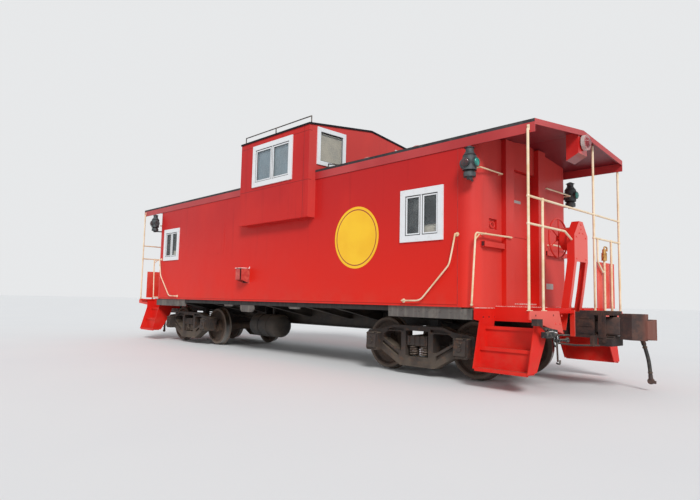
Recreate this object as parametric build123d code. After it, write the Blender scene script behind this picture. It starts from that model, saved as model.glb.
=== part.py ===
"""A railway caboose with an extended cupola, at full size.

+X runs along the car, -Y is its right side, +Z is up. The origin is under the middle of the car, at the
lowest points of the wheel flanges. The car is the same from either end: end b is end a turned half round.
"""

from build123d import *
import math
import os

os.makedirs("parts", exist_ok=True)

# Wheels and trucks
WHEEL_RADIUS = 419.1
FLANGE_HEIGHT = 25.4
RIM_WIDTH = 139.7
WHEEL_BACK = 676.5          # from the track's middle to the back of a wheel
HUB_RADIUS = 135.0
AXLE_RADIUS = 82.0
JOURNAL_RADIUS = 70.0
WHEELBASE = 1727.0
HALF_BASE = WHEELBASE / 2
FRAME_INNER = WHEEL_BACK + RIM_WIDTH + 113.8        # inner face of a side frame
FRAME_OUTER = FRAME_INNER + 170.0
BOX_OUTER = FRAME_OUTER + 90.0                      # outer face of a journal box
JOURNAL_END = BOX_OUTER - 105.0
RUNNING_GAP = 0.3           # between pieces that turn in each other
AXLE_Z = WHEEL_RADIUS + FLANGE_HEIGHT
CENTRE_PLATE_Z = AXLE_Z + 235.5
CENTRE_PLATE_RADIUS = 150.0

# Body
BODY_HALF_LENGTH = 4880.0
BODY_HALF_WIDTH = 1427.0
TRUCK_X = BODY_HALF_LENGTH - 1255.0     # a truck's middle
SIDE_BOTTOM = 1065.0
WALL = 70.0
CORNER_RADIUS = 235.0
INNER_BEND = 80.0           # the corners' radius inside
CORNER_SHEET = 277.0        # a corner sheet's reach along the side
FLOOR_BOTTOM = SIDE_BOTTOM - 20.0
FLOOR_TOP = FLOOR_BOTTOM + 65.0
EAVE_Z = 3470.0
RIDGE_Z = EAVE_Z + 170.0
ROOF_HALF_WIDTH = BODY_HALF_WIDTH + 13.0
ROOF_SHEET = 40.0
LETTERBOARD_Z = EAVE_Z - 173.0
FASCIA_DEPTH = 78.0
FASCIA = 20.0

# Cupola
CUPOLA_B = -720.0           # its end panels' outer faces along X
CUPOLA_A = 1500.0
CUPOLA_HALF_WIDTH = BODY_HALF_WIDTH + 175.0
CUPOLA_BOTTOM = EAVE_Z - 870.0
CUPOLA_EAVE_Z = EAVE_Z + 855.0
CUPOLA_RIDGE_Z = CUPOLA_EAVE_Z + 210.0
CUPOLA_SHEET = 35.0
CUPOLA_OVERHANG = 15.0
CUPOLA_PAN = 30.0

# Windows: name, middle along X, middle height, width, height of the opening
WINDOW_TRIM = 95.0
END_WINDOW_TRIM = 77.0
TRIM_PROUD = 22.0
TRIM_COVER = 22.0           # how far the trim covers the opening's edge
GLASS = 8.0
SIDE_WINDOWS = [
    ("a", BODY_HALF_LENGTH - 920.0, EAVE_Z - 1055.0, 660.0, 650.0),
    ("b", 800.0 - BODY_HALF_LENGTH, EAVE_Z - 1040.0, 660.0, 650.0),
]
CUPOLA_WINDOW = ((CUPOLA_A + CUPOLA_B) / 2 - 13.0, CUPOLA_EAVE_Z - 557.0, 1150.0, 700.0)
CUPOLA_END_WINDOW = (CUPOLA_HALF_WIDTH - 537.0, CUPOLA_EAVE_Z - 390.0, 600.0, 590.0)

# Doors
DOOR_Y = -145.0             # the doorway's middle at end a: it isn't on the car's middle
DOOR_HALF_WIDTH = 370.0
DOOR_BOTTOM = FLOOR_TOP + 20.0
DOOR_TOP = EAVE_Z - 330.0
DOOR_LEAF = 40.0
DOOR_INNER_X = BODY_HALF_LENGTH - 110.0
DOOR_GAP = 5.0
JAMB_WIDTH = 225.0
JAMB_PROUD = 75.0
HINGE_BARREL = 10.0
HINGE_PIN = 5.0
HINGE_HEIGHTS = [DOOR_BOTTOM + 320.0, DOOR_BOTTOM + 1010.0, DOOR_TOP - 310.0]
HINGE_LENGTH = 60.0

# Platforms and steps. A tread: its front edge from the body's side, its top from the deck's
PLATFORM_LENGTH = 830.0
END_SILL_X = BODY_HALF_LENGTH + PLATFORM_LENGTH
ROOF_HALF_LENGTH = END_SILL_X + 65.0
DECK_TOP = FLOOR_BOTTOM + 40.0
DECK = 40.0
DECK_LOW = DECK_TOP - DECK
SHELF = 30.0                # the plate under the deck's end that carries the railing
END_SILL_HALF = BODY_HALF_WIDTH + 63.0
END_SILL_PLATE = 20.0
WELL_Y = BODY_HALF_WIDTH - 497.0        # a step well's inner side
WELL_DEPTH = 200.0
STRINGER = 12.0
STEP_OUTER_X = END_SILL_X - 60.0
TREADS = [(3.0, -815.0), (-127.0, -547.0), (-262.0, -271.0)]
TREAD_NOSING = 25.0
TREAD = 22.0
CROSS_BEARER_X = END_SILL_X - 200.0

# Railings
RAIL_RADIUS = 17.0
RAIL_X = END_SILL_X - 22.0
RAIL_TOP_Z = DECK_TOP + 1400.0
RAIL_LOW_Z = DECK_TOP + 1050.0
CORNER_POST_Y = ROOF_HALF_WIDTH + RAIL_RADIUS + RUNNING_GAP
INNER_POST_Y = BODY_HALF_WIDTH - 294.0
NEAR_POST_Y = BODY_HALF_WIDTH - 337.0   # the same post on the right of end a
LADDER_POST_Y = 500.0
VALVE_Y = INNER_POST_Y - 271.0
VALVE_PIPE = 17.0
SHIELD_X = RAIL_X - RAIL_RADIUS - 17.0

# Collision stand. Its front edge: from the end sill's face, and from the deck's top
STAND_HALF = 215.0
STAND_PLATE = 12.0
STAND_DEPTH = 110.0
STAND_FLANGE = 70.0
STAND_TIP = 60.0
STAND_SHOULDER_Z = DECK_TOP + 1035.0
STAND_APEX_Z = STAND_SHOULDER_Z + 200.0
STAND_HEAD_Z = DECK_TOP + 655.0
STAND_FRONT = [(2.0, 1035.0), (2.0, 655.0), (-50.0, 275.0), (-121.0, -165.0), (-143.0, -309.0)]

# Brake wheel
BRAKE_WHEEL_RADIUS = 300.0
BRAKE_WHEEL_RIM = 13.0
BRAKE_WHEEL_X = END_SILL_X - 335.0
BRAKE_WHEEL_Z = DECK_TOP + 1015.0
BRAKE_CASE = 168.0
BRAKE_SHAFT = 16.0
BRAKE_HUB = 42.0
BRAKE_SPOKES = 6

# Coupler
COUPLER_Z = 840.0
COUPLER_PIVOT_X = END_SILL_X + 150.0
COUPLER_PIN = 35.0
COUPLER_FACE_X = END_SILL_X + 935.0
SHANK_HALF = 65.0
SHANK_HEIGHT = 150.0
HOUSING_FRONT = END_SILL_X + 360.0
HOUSING_BACK = END_SILL_X - 190.0
HOUSING_HALF = 200.0
HOUSING_BOTTOM = COUPLER_Z - 145.0
HOUSING_TOP = COUPLER_Z + 195.0
HOUSING_WALL = 25.0

# Underframe
SILL_HALF = 175.0
SILL_WEB = 18.0
SILL_SHALLOW_Z = CENTRE_PLATE_Z + 72.0
SILL_DEEP_Z = SILL_SHALLOW_Z - 152.0
SILL_DEEP_X = TRUCK_X - 1825.0
SILL_SHALLOW_X = TRUCK_X - 425.0
SIDE_SILL_OUTER = BODY_HALF_WIDTH - 30.0
SIDE_SILL_BOTTOM = SIDE_BOTTOM - 80.0
DEEP_SILL_BOTTOM = SIDE_BOTTOM - 165.0
DEEP_SILL_FROM = TRUCK_X - 325.0
DEEP_SILL_TO = BODY_HALF_LENGTH - 50.0

# Air hose: the points of its route at end a, from the end sill's face and from the flanges' lowest points
HOSE_RADIUS = 25.0
HOSE_Y = 370.0
HOSE_RUN = [(680.0, 610.0), (712.0, 500.0), (740.0, 365.0), (750.0, 215.0)]
HOSE_ROUTE = [(END_SILL_X + x, z) for x, z in HOSE_RUN]
HOSE_BENDS = 0.45           # of the shorter run beside each corner

BODY_INNER = BODY_HALF_WIDTH - WALL
END_INNER = BODY_HALF_LENGTH - WALL
DOOR_OUTER_X = DOOR_INNER_X + DOOR_LEAF


def block(x0, x1, y0, y1, z0, z1):
    """A box between two corners."""
    size = (abs(x1 - x0), abs(y1 - y0), abs(z1 - z0))
    middle = ((x0 + x1) / 2, (y0 + y1) / 2, (z0 + z1) / 2)
    return Pos(*middle) * Box(*size)


def raised(points, run):
    """The solid between an outline and the same outline moved by a run."""
    solid = Solid.extrude(make_face(Polyline(*points, close=True)).face(), run)
    return solid if solid.volume > 0 else Solid.extrude(-make_face(Polyline(*points, close=True)).face(), run)


def prism_x(outline, x0, x1):
    """A plate whose outline is given in Y and Z, from x0 to x1."""
    low, high = sorted((x0, x1))
    return raised([(low, y, z) for y, z in outline], Vector(high - low, 0, 0))


def prism_y(outline, y0, y1):
    """A plate whose outline is given in X and Z, from y0 to y1."""
    low, high = sorted((y0, y1))
    return raised([(x, low, z) for x, z in outline], Vector(0, high - low, 0))


def prism_z(outline, z0, z1):
    """A plate whose outline is given in X and Y, from z0 to z1."""
    low, high = sorted((z0, z1))
    return raised([(x, y, low) for x, y in outline], Vector(0, 0, high - low))


def rod(start, end, radius):
    """A round bar between two points."""
    run = Vector(*end) - Vector(*start)
    return Plane(start, z_dir=run) * Cylinder(
        radius, run.length, align=(Align.CENTER, Align.CENTER, Align.MIN)
    )


def pipe(points, radius, bend):
    """A round pipe along straight runs joined by bends."""
    path = FilletPolyline(*points, radius=bend)
    start = Plane(path @ 0, z_dir=path % 0)
    return sweep(start * Circle(radius), path=path)


def turned(shape):
    """The same piece at the other end."""
    return shape.rotate(Axis.Z, 180)


def mirrored(shape):
    """The same piece on the other side of the car."""
    return mirror(shape, Plane.XZ)


def save(name, shapes):
    """Write one node."""
    solids = []
    for shape in shapes:
        solids += shape.solids()
    export_step(Compound(children=solids), f"parts/{name}.step")


def gable(half_width, eave, ridge):
    """Height of a roof plane at a distance from the middle."""
    return lambda y: ridge - (ridge - eave) * abs(y) / half_width


roof_top = gable(ROOF_HALF_WIDTH, EAVE_Z, RIDGE_Z)
cupola_top = gable(CUPOLA_HALF_WIDTH + CUPOLA_OVERHANG, CUPOLA_EAVE_Z, CUPOLA_RIDGE_Z)


def roof_under(y):
    return roof_top(y) - ROOF_SHEET


def cupola_under(y):
    return cupola_top(y) - CUPOLA_SHEET


def roof_prism(half, top, under, x0, x1):
    """A gabled sheet."""
    outline = [(-half, top(half)), (0, top(0)), (half, top(half))]
    outline += [(half, under(half)), (0, under(0)), (-half, under(half))]
    return prism_x(outline, x0, x1)


# Wheelsets: two wheels pressed on an axle that turns in the journal boxes
def wheel():
    tread_out = WHEEL_RADIUS - 4
    flange = WHEEL_RADIUS + FLANGE_HEIGHT
    face = WHEEL_BACK + RIM_WIDTH
    rim_in = WHEEL_RADIUS - 65
    points = [
        (AXLE_RADIUS, WHEEL_BACK - 20),
        (HUB_RADIUS, WHEEL_BACK - 20),
        (HUB_RADIUS + 15, WHEEL_BACK + 30),
        (rim_in - 25, WHEEL_BACK + 62),
        (rim_in, WHEEL_BACK),
        (flange - 6, WHEEL_BACK),
        (flange, WHEEL_BACK + 8),
        (flange, WHEEL_BACK + 14),
        (WHEEL_RADIUS + 3, WHEEL_BACK + 34),
        (tread_out, face - 6),
        (tread_out - 6, face),
        (rim_in, face),
        (rim_in - 25, WHEEL_BACK + 90),
        (HUB_RADIUS + 25, WHEEL_BACK + 62),
        (HUB_RADIUS, face + 10),
        (AXLE_RADIUS, face + 10),
    ]
    section = make_face(Polyline(*[(r, y, 0) for r, y in points], close=True))
    return revolve(section, Axis.Y)


def axle():
    body = Cylinder(AXLE_RADIUS, 2 * (WHEEL_BACK + RIM_WIDTH + 12))
    journals = Cylinder(JOURNAL_RADIUS, 2 * JOURNAL_END)
    return (body + journals).rotate(Axis.X, 90)


def wheelset(x):
    place = Pos(x, 0, AXLE_Z)
    return [place * mirrored(wheel()), place * wheel(), place * axle()]


# Cast side frames with a bolster opening, two lightening openings and journal boxes
FRAME_OUTLINE = [
    (480.0, 312.5), (HALF_BASE - 163.5, 245.5), (HALF_BASE + 150.0, 212.0), (HALF_BASE + 176.5, 190.0),
    (HALF_BASE + 176.5, 90.0), (HALF_BASE + 126.5, -44.5), (HALF_BASE - 123.5, -94.5), (330.0, -309.5),
]
LIGHTENING = [
    (312.0, 210.5), (HALF_BASE - 263.5, 210.5), (HALF_BASE - 173.5, 155.5), (HALF_BASE - 173.5, 95.5),
    (335.0, -94.5), (312.0, -74.5),
]
TOP_POCKET = [(262.0, 270.5), (470.0, 270.5), (HALF_BASE - 223.5, 227.5), (262.0, 227.5)]
STRUT_POCKET = [(360.0, -126.5), (HALF_BASE - 163.5, 55.5), (HALF_BASE - 147.5, 10.5), (372.0, -182.5)]
OPENING_HALF = 222.0
OPENING_BOTTOM = AXLE_Z - 159.5
OPENING_TOP = AXLE_Z + 235.5
FRAME_POCKET = 45.0
BOX_HALF = 125.0
BOX_Z = (AXLE_Z - 109.5, AXLE_Z + 180.5)
LID_HALF = 98.0


def side_frame():
    """The frame on the left side of a truck whose middle is at X = 0."""
    outline = [(x, AXLE_Z + z) for x, z in FRAME_OUTLINE]
    outline += [(-x, z) for x, z in reversed(outline)]
    frame = prism_y(outline, FRAME_INNER, FRAME_OUTER)
    frame = fillet(frame.edges().filter_by(Axis.Y), 24)
    opening = block(-OPENING_HALF, OPENING_HALF, FRAME_INNER, FRAME_OUTER, OPENING_BOTTOM, OPENING_TOP)
    frame -= fillet(opening.edges().filter_by(Axis.Y), 22)
    for side in (1, -1):
        hole = prism_y([(side * x, AXLE_Z + z) for x, z in LIGHTENING], FRAME_INNER, FRAME_OUTER)
        frame -= fillet(hole.edges().filter_by(Axis.Y), 24)
        for pocket in (TOP_POCKET, STRUT_POCKET):
            outline = [(side * x, AXLE_Z + z) for x, z in pocket]
            frame -= prism_y(outline, FRAME_OUTER - FRAME_POCKET, FRAME_OUTER)
        x = side * HALF_BASE
        box = block(x - BOX_HALF, x + BOX_HALF, FRAME_INNER - 10, BOX_OUTER, *BOX_Z)
        frame += fillet(box.edges().filter_by(Axis.Y), 26)
        frame += prism_x(
            [(BOX_OUTER, AXLE_Z - 72.5), (BOX_OUTER + 38, AXLE_Z - 64.5), (BOX_OUTER + 12, AXLE_Z + 155.5),
             (BOX_OUTER, AXLE_Z + 155.5)],
            x - LID_HALF, x + LID_HALF,
        )
        frame += rod((x - 60, BOX_OUTER + 10, AXLE_Z + 161.5), (x + 60, BOX_OUTER + 10, AXLE_Z + 161.5), 16)
        frame += rod((x, BOX_OUTER, AXLE_Z + 20), (x, BOX_OUTER + 42, AXLE_Z + 20), 30)
        bore = JOURNAL_RADIUS + RUNNING_GAP
        frame -= rod((x, FRAME_INNER - 20, AXLE_Z), (x, JOURNAL_END + 20, AXLE_Z), bore)
    return frame


SPRING_RADIUS = 80.0
SPRING_TURNS = 4
SPRING_TOP = AXLE_Z + 10.5
BOLSTER_HALF = 190.0
BOLSTER_END_TOP = AXLE_Z + 155.5
BOLSTER_END_Y = FRAME_OUTER - 8.0
BOLSTER_RIBS = [-150.0, -50.0, 50.0, 150.0]
SIDE_BEARING = (575.0, 675.0)
SIDE_BEARING_TOP = AXLE_Z + 250.5
SIDE_BEARING_GAP = 6.0


def spring(x, y):
    """A coil spring as a stack of rings on a core, between the frame's seat and the bolster."""
    height = SPRING_TOP - OPENING_BOTTOM
    core = Pos(x, y, OPENING_BOTTOM + height / 2) * Cylinder(SPRING_RADIUS - 28, height)
    pitch = height / SPRING_TURNS
    for turn in range(SPRING_TURNS):
        z = OPENING_BOTTOM + pitch * (turn + 0.5)
        core += Pos(x, y, z) * Cylinder(SPRING_RADIUS, pitch - 14)
    return core


def truck_bolster():
    half_outline = [
        (BOLSTER_END_Y, SPRING_TOP), (BOLSTER_END_Y, BOLSTER_END_TOP), (620.0, BOLSTER_END_TOP + 15),
        (260.0, CENTRE_PLATE_Z - 30),
    ]
    top = half_outline[1:] + [(-y, z) for y, z in reversed(half_outline[1:])]
    keel = SPRING_TOP - 75
    bottom = [
        (-BOLSTER_END_Y, SPRING_TOP), (-700.0, SPRING_TOP), (-400.0, keel), (400.0, keel),
        (700.0, SPRING_TOP),
    ]
    beam = prism_x(top + bottom + [(BOLSTER_END_Y, SPRING_TOP)], -BOLSTER_HALF, BOLSTER_HALF)
    bowl_bottom = CENTRE_PLATE_Z - 30
    bowl = Pos(0, 0, bowl_bottom + 20) * Cylinder(CENTRE_PLATE_RADIUS + 40, 40)
    bowl -= Pos(0, 0, CENTRE_PLATE_Z + 25) * Cylinder(CENTRE_PLATE_RADIUS + 5, 50)
    beam += bowl
    for side in (1, -1):
        near, far = side * SIDE_BEARING[0], side * SIDE_BEARING[1]
        beam += block(-90, 90, near, far, BOLSTER_END_TOP, SIDE_BEARING_TOP)
        root, face = side * (BOLSTER_END_Y - 1), side * (BOLSTER_END_Y + 14)
        for x in BOLSTER_RIBS:
            beam += block(x - 9, x + 9, root, face, SPRING_TOP, BOLSTER_END_TOP)
    return beam


def brake_beam(side):
    """A brake beam with its two shoes, inside the wheels on one side of the bolster."""
    shoe_face = WHEEL_RADIUS + 14
    beam_x = side * (HALF_BASE - shoe_face - 75)
    beam_z = AXLE_Z - 54.5
    reach = WHEEL_BACK + 83.5
    beam = rod((beam_x, -reach, beam_z), (beam_x, reach, beam_z), 32)
    for hand in (1, -1):
        y0 = hand * (WHEEL_BACK + 45)
        y1 = hand * (WHEEL_BACK + 125)
        middle = Pos(side * HALF_BASE, (y0 + y1) / 2, AXLE_Z)
        ring = middle * Cylinder(shoe_face + 45, 80).rotate(Axis.X, 90)
        ring -= middle * Cylinder(shoe_face, 90).rotate(Axis.X, 90)
        back = HALF_BASE - shoe_face
        shoe = ring & block(side * (back - 60), side * (back + 60), y0, y1, AXLE_Z - 154.5, AXLE_Z + 75.5)
        head = block(beam_x - side * 30, side * (back - 12), y0, y1, AXLE_Z - 89.5, AXLE_Z - 14.5)
        beam += shoe + head
    return beam + block(beam_x, side * BOLSTER_HALF, -40, 40, AXLE_Z - 59.5, AXLE_Z - 19.5)


# Underframe: fish-belly centre sill, bolsters, bearers
def centre_sill():
    end = HOUSING_BACK
    lower = [
        (-end, SILL_SHALLOW_Z), (-SILL_SHALLOW_X, SILL_SHALLOW_Z), (-SILL_DEEP_X, SILL_DEEP_Z),
        (SILL_DEEP_X, SILL_DEEP_Z), (SILL_SHALLOW_X, SILL_SHALLOW_Z), (end, SILL_SHALLOW_Z),
    ]
    upper = [(end, FLOOR_BOTTOM), (-end, FLOOR_BOTTOM)]
    sill = prism_y(lower + upper, -SILL_HALF, SILL_HALF)
    hollow_top = FLOOR_BOTTOM - SILL_WEB
    hollow = prism_y(
        [(x, z - 1) for x, z in lower] + [(end, hollow_top), (-end, hollow_top)],
        -(SILL_HALF - SILL_WEB), SILL_HALF - SILL_WEB,
    )
    sill -= hollow
    flange_upper = [(x, z + SILL_WEB) for x, z in reversed(lower)]
    for side in (1, -1):
        sill += prism_y(lower + flange_upper, side * (SILL_HALF - SILL_WEB), side * (SILL_HALF + 55))
    for x, _ in BEARERS[1:-1]:
        bottom = SILL_DEEP_Z + 40 if abs(x) < SILL_DEEP_X else SILL_SHALLOW_Z
        sill += block(x - 8, x + 8, -SILL_HALF, SILL_HALF, bottom, FLOOR_BOTTOM)
    for x in (-TRUCK_X, TRUCK_X):
        sill += block(x - 200, x + 200, -SILL_HALF, SILL_HALF, SILL_SHALLOW_Z - 20, SILL_SHALLOW_Z + 20)
        plate_bottom = CENTRE_PLATE_Z + RUNNING_GAP
        height = SILL_SHALLOW_Z - 20 - plate_bottom
        sill += Pos(x, 0, plate_bottom + height / 2) * Cylinder(CENTRE_PLATE_RADIUS, height)
    return sill


# Cross bearers: place along X, width of the bottom flange
BEARERS = [
    (-TRUCK_X, 300.0), (1575.0 - TRUCK_X, 90.0), (-0.345 * TRUCK_X, 90.0), (0.0, 90.0),
    (0.345 * TRUCK_X, 90.0), (TRUCK_X - 1575.0, 90.0), (TRUCK_X, 300.0),
]


def bearer(x, width, side):
    """A cross bearer from the centre sill to a side sill: a web with a bottom flange. Over a truck it has
    its side bearing."""
    knee = SILL_HALF + 120
    deep = SILL_SHALLOW_Z + 20
    shallow = SIDE_SILL_BOTTOM
    outline = [
        (side * SILL_HALF, deep), (side * knee, deep), (side * BODY_INNER, shallow),
        (side * BODY_INNER, FLOOR_BOTTOM), (side * SILL_HALF, FLOOR_BOTTOM),
    ]
    piece = prism_x(outline, x - 8, x + 8)
    lower = [(side * (SILL_HALF + 56), deep), (side * knee, deep), (side * BODY_INNER, shallow)]
    piece += prism_x(lower + [(y, z + 16) for y, z in reversed(lower)], x - width / 2, x + width / 2)
    if abs(x) == TRUCK_X:
        near, far = side * SIDE_BEARING[0], side * SIDE_BEARING[1]
        piece += block(x - 80, x + 80, near, far, SIDE_BEARING_TOP + SIDE_BEARING_GAP, SILL_SHALLOW_Z + 108)
    return piece


def side_sill():
    """The sill under a side wall, with a deeper channel over each truck."""
    reach = BODY_HALF_LENGTH - CORNER_RADIUS
    sill = block(-reach, reach, BODY_INNER, SIDE_SILL_OUTER, SIDE_SILL_BOTTOM, SIDE_BOTTOM)
    for side in (1, -1):
        sill += block(side * DEEP_SILL_FROM, side * DEEP_SILL_TO, BODY_INNER, SIDE_SILL_OUTER,
                      DEEP_SILL_BOTTOM, FLOOR_BOTTOM)
    return sill


# Body shell
def body_core(radius, half_length, half_width, low, high):
    """The body's outside or inside as one upright block with round corners."""
    return Pos(0, 0, low) * extrude(RectangleRounded(2 * half_length, 2 * half_width, radius), high - low)


def wall_ring():
    ring = body_core(CORNER_RADIUS, BODY_HALF_LENGTH, BODY_HALF_WIDTH, SIDE_BOTTOM, RIDGE_Z)
    ring -= body_core(INNER_BEND, END_INNER, BODY_INNER, SIDE_BOTTOM, RIDGE_Z)
    half = BODY_HALF_WIDTH + 10
    envelope = prism_x(
        [(-half, SIDE_BOTTOM), (half, SIDE_BOTTOM), (half, roof_under(half)), (0, roof_under(0)),
         (-half, roof_under(half))],
        -BODY_HALF_LENGTH, BODY_HALF_LENGTH,
    )
    return ring & envelope


def side_wall(ring, side):
    seam = BODY_HALF_LENGTH - CORNER_SHEET
    near, far = side * (BODY_INNER - 60), side * (BODY_HALF_WIDTH + 60)
    wall = ring & block(-seam, seam, side * BODY_HALF_WIDTH / 2, far, 0, RIDGE_Z)
    for _, x, z, width, height in SIDE_WINDOWS:
        wall -= block(x - width / 2, x + width / 2, near, far, z - height / 2, z + height / 2)
    return wall - block(CUPOLA_B + WALL, CUPOLA_A - WALL, near, far, CUPOLA_BOTTOM + CUPOLA_PAN, RIDGE_Z)


# Ledge boxes: gap from the jamb on each side, how far they end from the body's side, height over the deck.
# The recess beside the door: from the body's side, from the deck's top
LEDGE_GAPS = {1: 80.0, -1: 11.0}
LEDGE_END = 160.0
LEDGE_Z = (DECK_TOP + 820, DECK_TOP + 895)
LEDGE_FRONT = BODY_HALF_LENGTH + 60
RECESS_Y = (360 - BODY_HALF_WIDTH, 558 - BODY_HALF_WIDTH)
RECESS_Z = (DECK_TOP + 1088, DECK_TOP + 1236)
RECESS_DEPTH = 35.0


def end_wall(ring):
    """An end wall with the door's jambs and sill, the hinges' fixed barrels, two ledge boxes and a recess.
    Its corner sheets are solids of their own."""
    seam = BODY_HALF_LENGTH - CORNER_SHEET
    side_reach = BODY_HALF_WIDTH + 60
    bend_x, bend_y = END_INNER - INNER_BEND, BODY_INNER - INNER_BEND
    wall = ring & block(bend_x, BODY_HALF_LENGTH, -bend_y, bend_y, 0, RIDGE_Z)
    corners = []
    for side in (1, -1):
        near, far = side * bend_y, side * side_reach
        corners.append(ring & block(seam, bend_x, near, far, 0, RIDGE_Z))
        corners.append(ring & block(bend_x, BODY_HALF_LENGTH, near, far, 0, RIDGE_Z))
    front = BODY_HALF_LENGTH + JAMB_PROUD
    left, right = DOOR_Y + DOOR_HALF_WIDTH, DOOR_Y - DOOR_HALF_WIDTH
    for side in (1, -1):
        near, far = DOOR_Y + side * DOOR_HALF_WIDTH, DOOR_Y + side * (DOOR_HALF_WIDTH + JAMB_WIDTH)
        wall += block(DOOR_INNER_X, front, near, far, SIDE_BOTTOM, min(roof_under(near), roof_under(far)))
    wall -= block(DOOR_INNER_X - 20, front + 20, right, left, DOOR_BOTTOM, DOOR_TOP)
    wall += block(END_INNER, BODY_HALF_LENGTH + 25, right, left, SIDE_BOTTOM, DOOR_BOTTOM)
    wall -= block(BODY_HALF_LENGTH, front + 20, -side_reach, side_reach, 0, DECK_TOP)
    wall -= block(seam, END_INNER, -bend_y, bend_y, SIDE_BOTTOM - 1, FLOOR_TOP)
    pin_x = DOOR_INNER_X - HINGE_BARREL - 2
    pin_y = left - DOOR_GAP / 2
    for z in HINGE_HEIGHTS:
        for low in (z - HINGE_LENGTH, z + HINGE_LENGTH / 2):
            wall += rod((pin_x, pin_y, low), (pin_x, pin_y, low + HINGE_LENGTH / 2), HINGE_BARREL)
            wall += block(pin_x, DOOR_INNER_X, left, left + 60, low, low + HINGE_LENGTH / 2)
        wall += rod((pin_x, pin_y, z - HINGE_LENGTH), (pin_x, pin_y, z + HINGE_LENGTH), HINGE_PIN)
    for side in (1, -1):
        inner = DOOR_Y + side * (DOOR_HALF_WIDTH + JAMB_WIDTH + LEDGE_GAPS[side])
        wall += block(END_INNER + 5, LEDGE_FRONT, inner, side * (BODY_HALF_WIDTH - LEDGE_END), *LEDGE_Z)
    wall -= block(BODY_HALF_LENGTH - RECESS_DEPTH, BODY_HALF_LENGTH + 1, *RECESS_Y, *RECESS_Z)
    return [wall] + corners


def end_door():
    """A sheet steel door that opens inwards, with a pressed panel, a knob and its half of the hinges."""
    inner, outer = DOOR_INNER_X, DOOR_OUTER_X
    half = DOOR_HALF_WIDTH - DOOR_GAP
    low, high = DOOR_BOTTOM + DOOR_GAP, DOOR_TOP - DOOR_GAP
    leaf = block(inner, outer, -half, half, low, high)
    leaf -= block(outer - 8, outer, -half + 90, half - 90, low + 120, low + 1000)
    pin_x = inner - HINGE_BARREL - 2
    pin_y = DOOR_HALF_WIDTH - DOOR_GAP / 2
    for z in HINGE_HEIGHTS:
        low_z, high_z = z - HINGE_LENGTH / 2 + RUNNING_GAP, z + HINGE_LENGTH / 2 - RUNNING_GAP
        leaf += rod((pin_x, pin_y, low_z), (pin_x, pin_y, high_z), HINGE_BARREL)
        leaf += block(pin_x, inner, half - 60, half, low_z, high_z)
        leaf -= rod((pin_x, pin_y, low_z - 1), (pin_x, pin_y, high_z + 1), HINGE_PIN + RUNNING_GAP)
    knob_z = DOOR_BOTTOM + 920
    leaf += rod((outer, -half + 70, knob_z), (outer + 45, -half + 70, knob_z), 12)
    leaf += Pos(outer + 50, -half + 70, knob_z) * Sphere(28)
    return Pos(0, DOOR_Y, 0) * leaf


def main_roof(x0, x1, end):
    roof = roof_prism(ROOF_HALF_WIDTH, roof_top, roof_under, x0, x1)
    fascia_low = lambda y: roof_top(y) - FASCIA_DEPTH
    roof += roof_prism(ROOF_HALF_WIDTH, roof_top, fascia_low, end, end - math.copysign(FASCIA, end))
    board_top = roof_under(ROOF_HALF_WIDTH) + 1
    for side in (1, -1):
        roof += block(x0, x1, side * BODY_HALF_WIDTH, side * ROOF_HALF_WIDTH, LETTERBOARD_Z, board_top)
    return roof


def cupola_side(side):
    x0, x1 = CUPOLA_B, CUPOLA_A
    outer, inner = CUPOLA_HALF_WIDTH, CUPOLA_HALF_WIDTH - WALL
    outline = [
        (side * inner, CUPOLA_BOTTOM + CUPOLA_PAN), (side * BODY_HALF_WIDTH, CUPOLA_BOTTOM + CUPOLA_PAN),
        (side * BODY_HALF_WIDTH, CUPOLA_BOTTOM), (side * outer, CUPOLA_BOTTOM),
        (side * outer, cupola_under(outer)), (side * inner, cupola_under(inner)),
    ]
    panel = prism_x(outline, x0, x1)
    x, z, width, height = CUPOLA_WINDOW
    near, far = side * (inner - 30), side * (outer + 60)
    return panel - block(x - width / 2, x + width / 2, near, far, z - height / 2, z + height / 2)


def cupola_end(x_outer, x_inner):
    inner = CUPOLA_HALF_WIDTH - WALL
    pan = CUPOLA_BOTTOM + CUPOLA_PAN
    outline = [
        (-inner, pan), (-inner, cupola_under(inner)), (0, cupola_under(0)), (inner, cupola_under(inner)),
        (inner, pan), (BODY_HALF_WIDTH, pan), (BODY_HALF_WIDTH, LETTERBOARD_Z),
        (ROOF_HALF_WIDTH, LETTERBOARD_Z),
        (ROOF_HALF_WIDTH, roof_top(ROOF_HALF_WIDTH)), (0, roof_top(0)),
        (-ROOF_HALF_WIDTH, roof_top(ROOF_HALF_WIDTH)), (-ROOF_HALF_WIDTH, LETTERBOARD_Z),
        (-BODY_HALF_WIDTH, LETTERBOARD_Z), (-BODY_HALF_WIDTH, pan),
    ]
    panel = prism_x(outline, x_outer, x_inner)
    y, z, width, height = CUPOLA_END_WINDOW
    for side in (1, -1):
        panel -= block(x_outer + 100, x_outer - 100, side * (y - width / 2), side * (y + width / 2),
                       z - height / 2, z + height / 2)
    return panel


# Window frames and glass. A frame lies on the wall's outer face and lines the opening's edge
GLASS_BACK = 4.0            # how far a pane's outer face lies behind the wall's
GLASS_LAP = 10.0            # how far a pane reaches past what shows of it
LINING = 30.0               # the depth of the frame's lining in the opening


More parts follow.
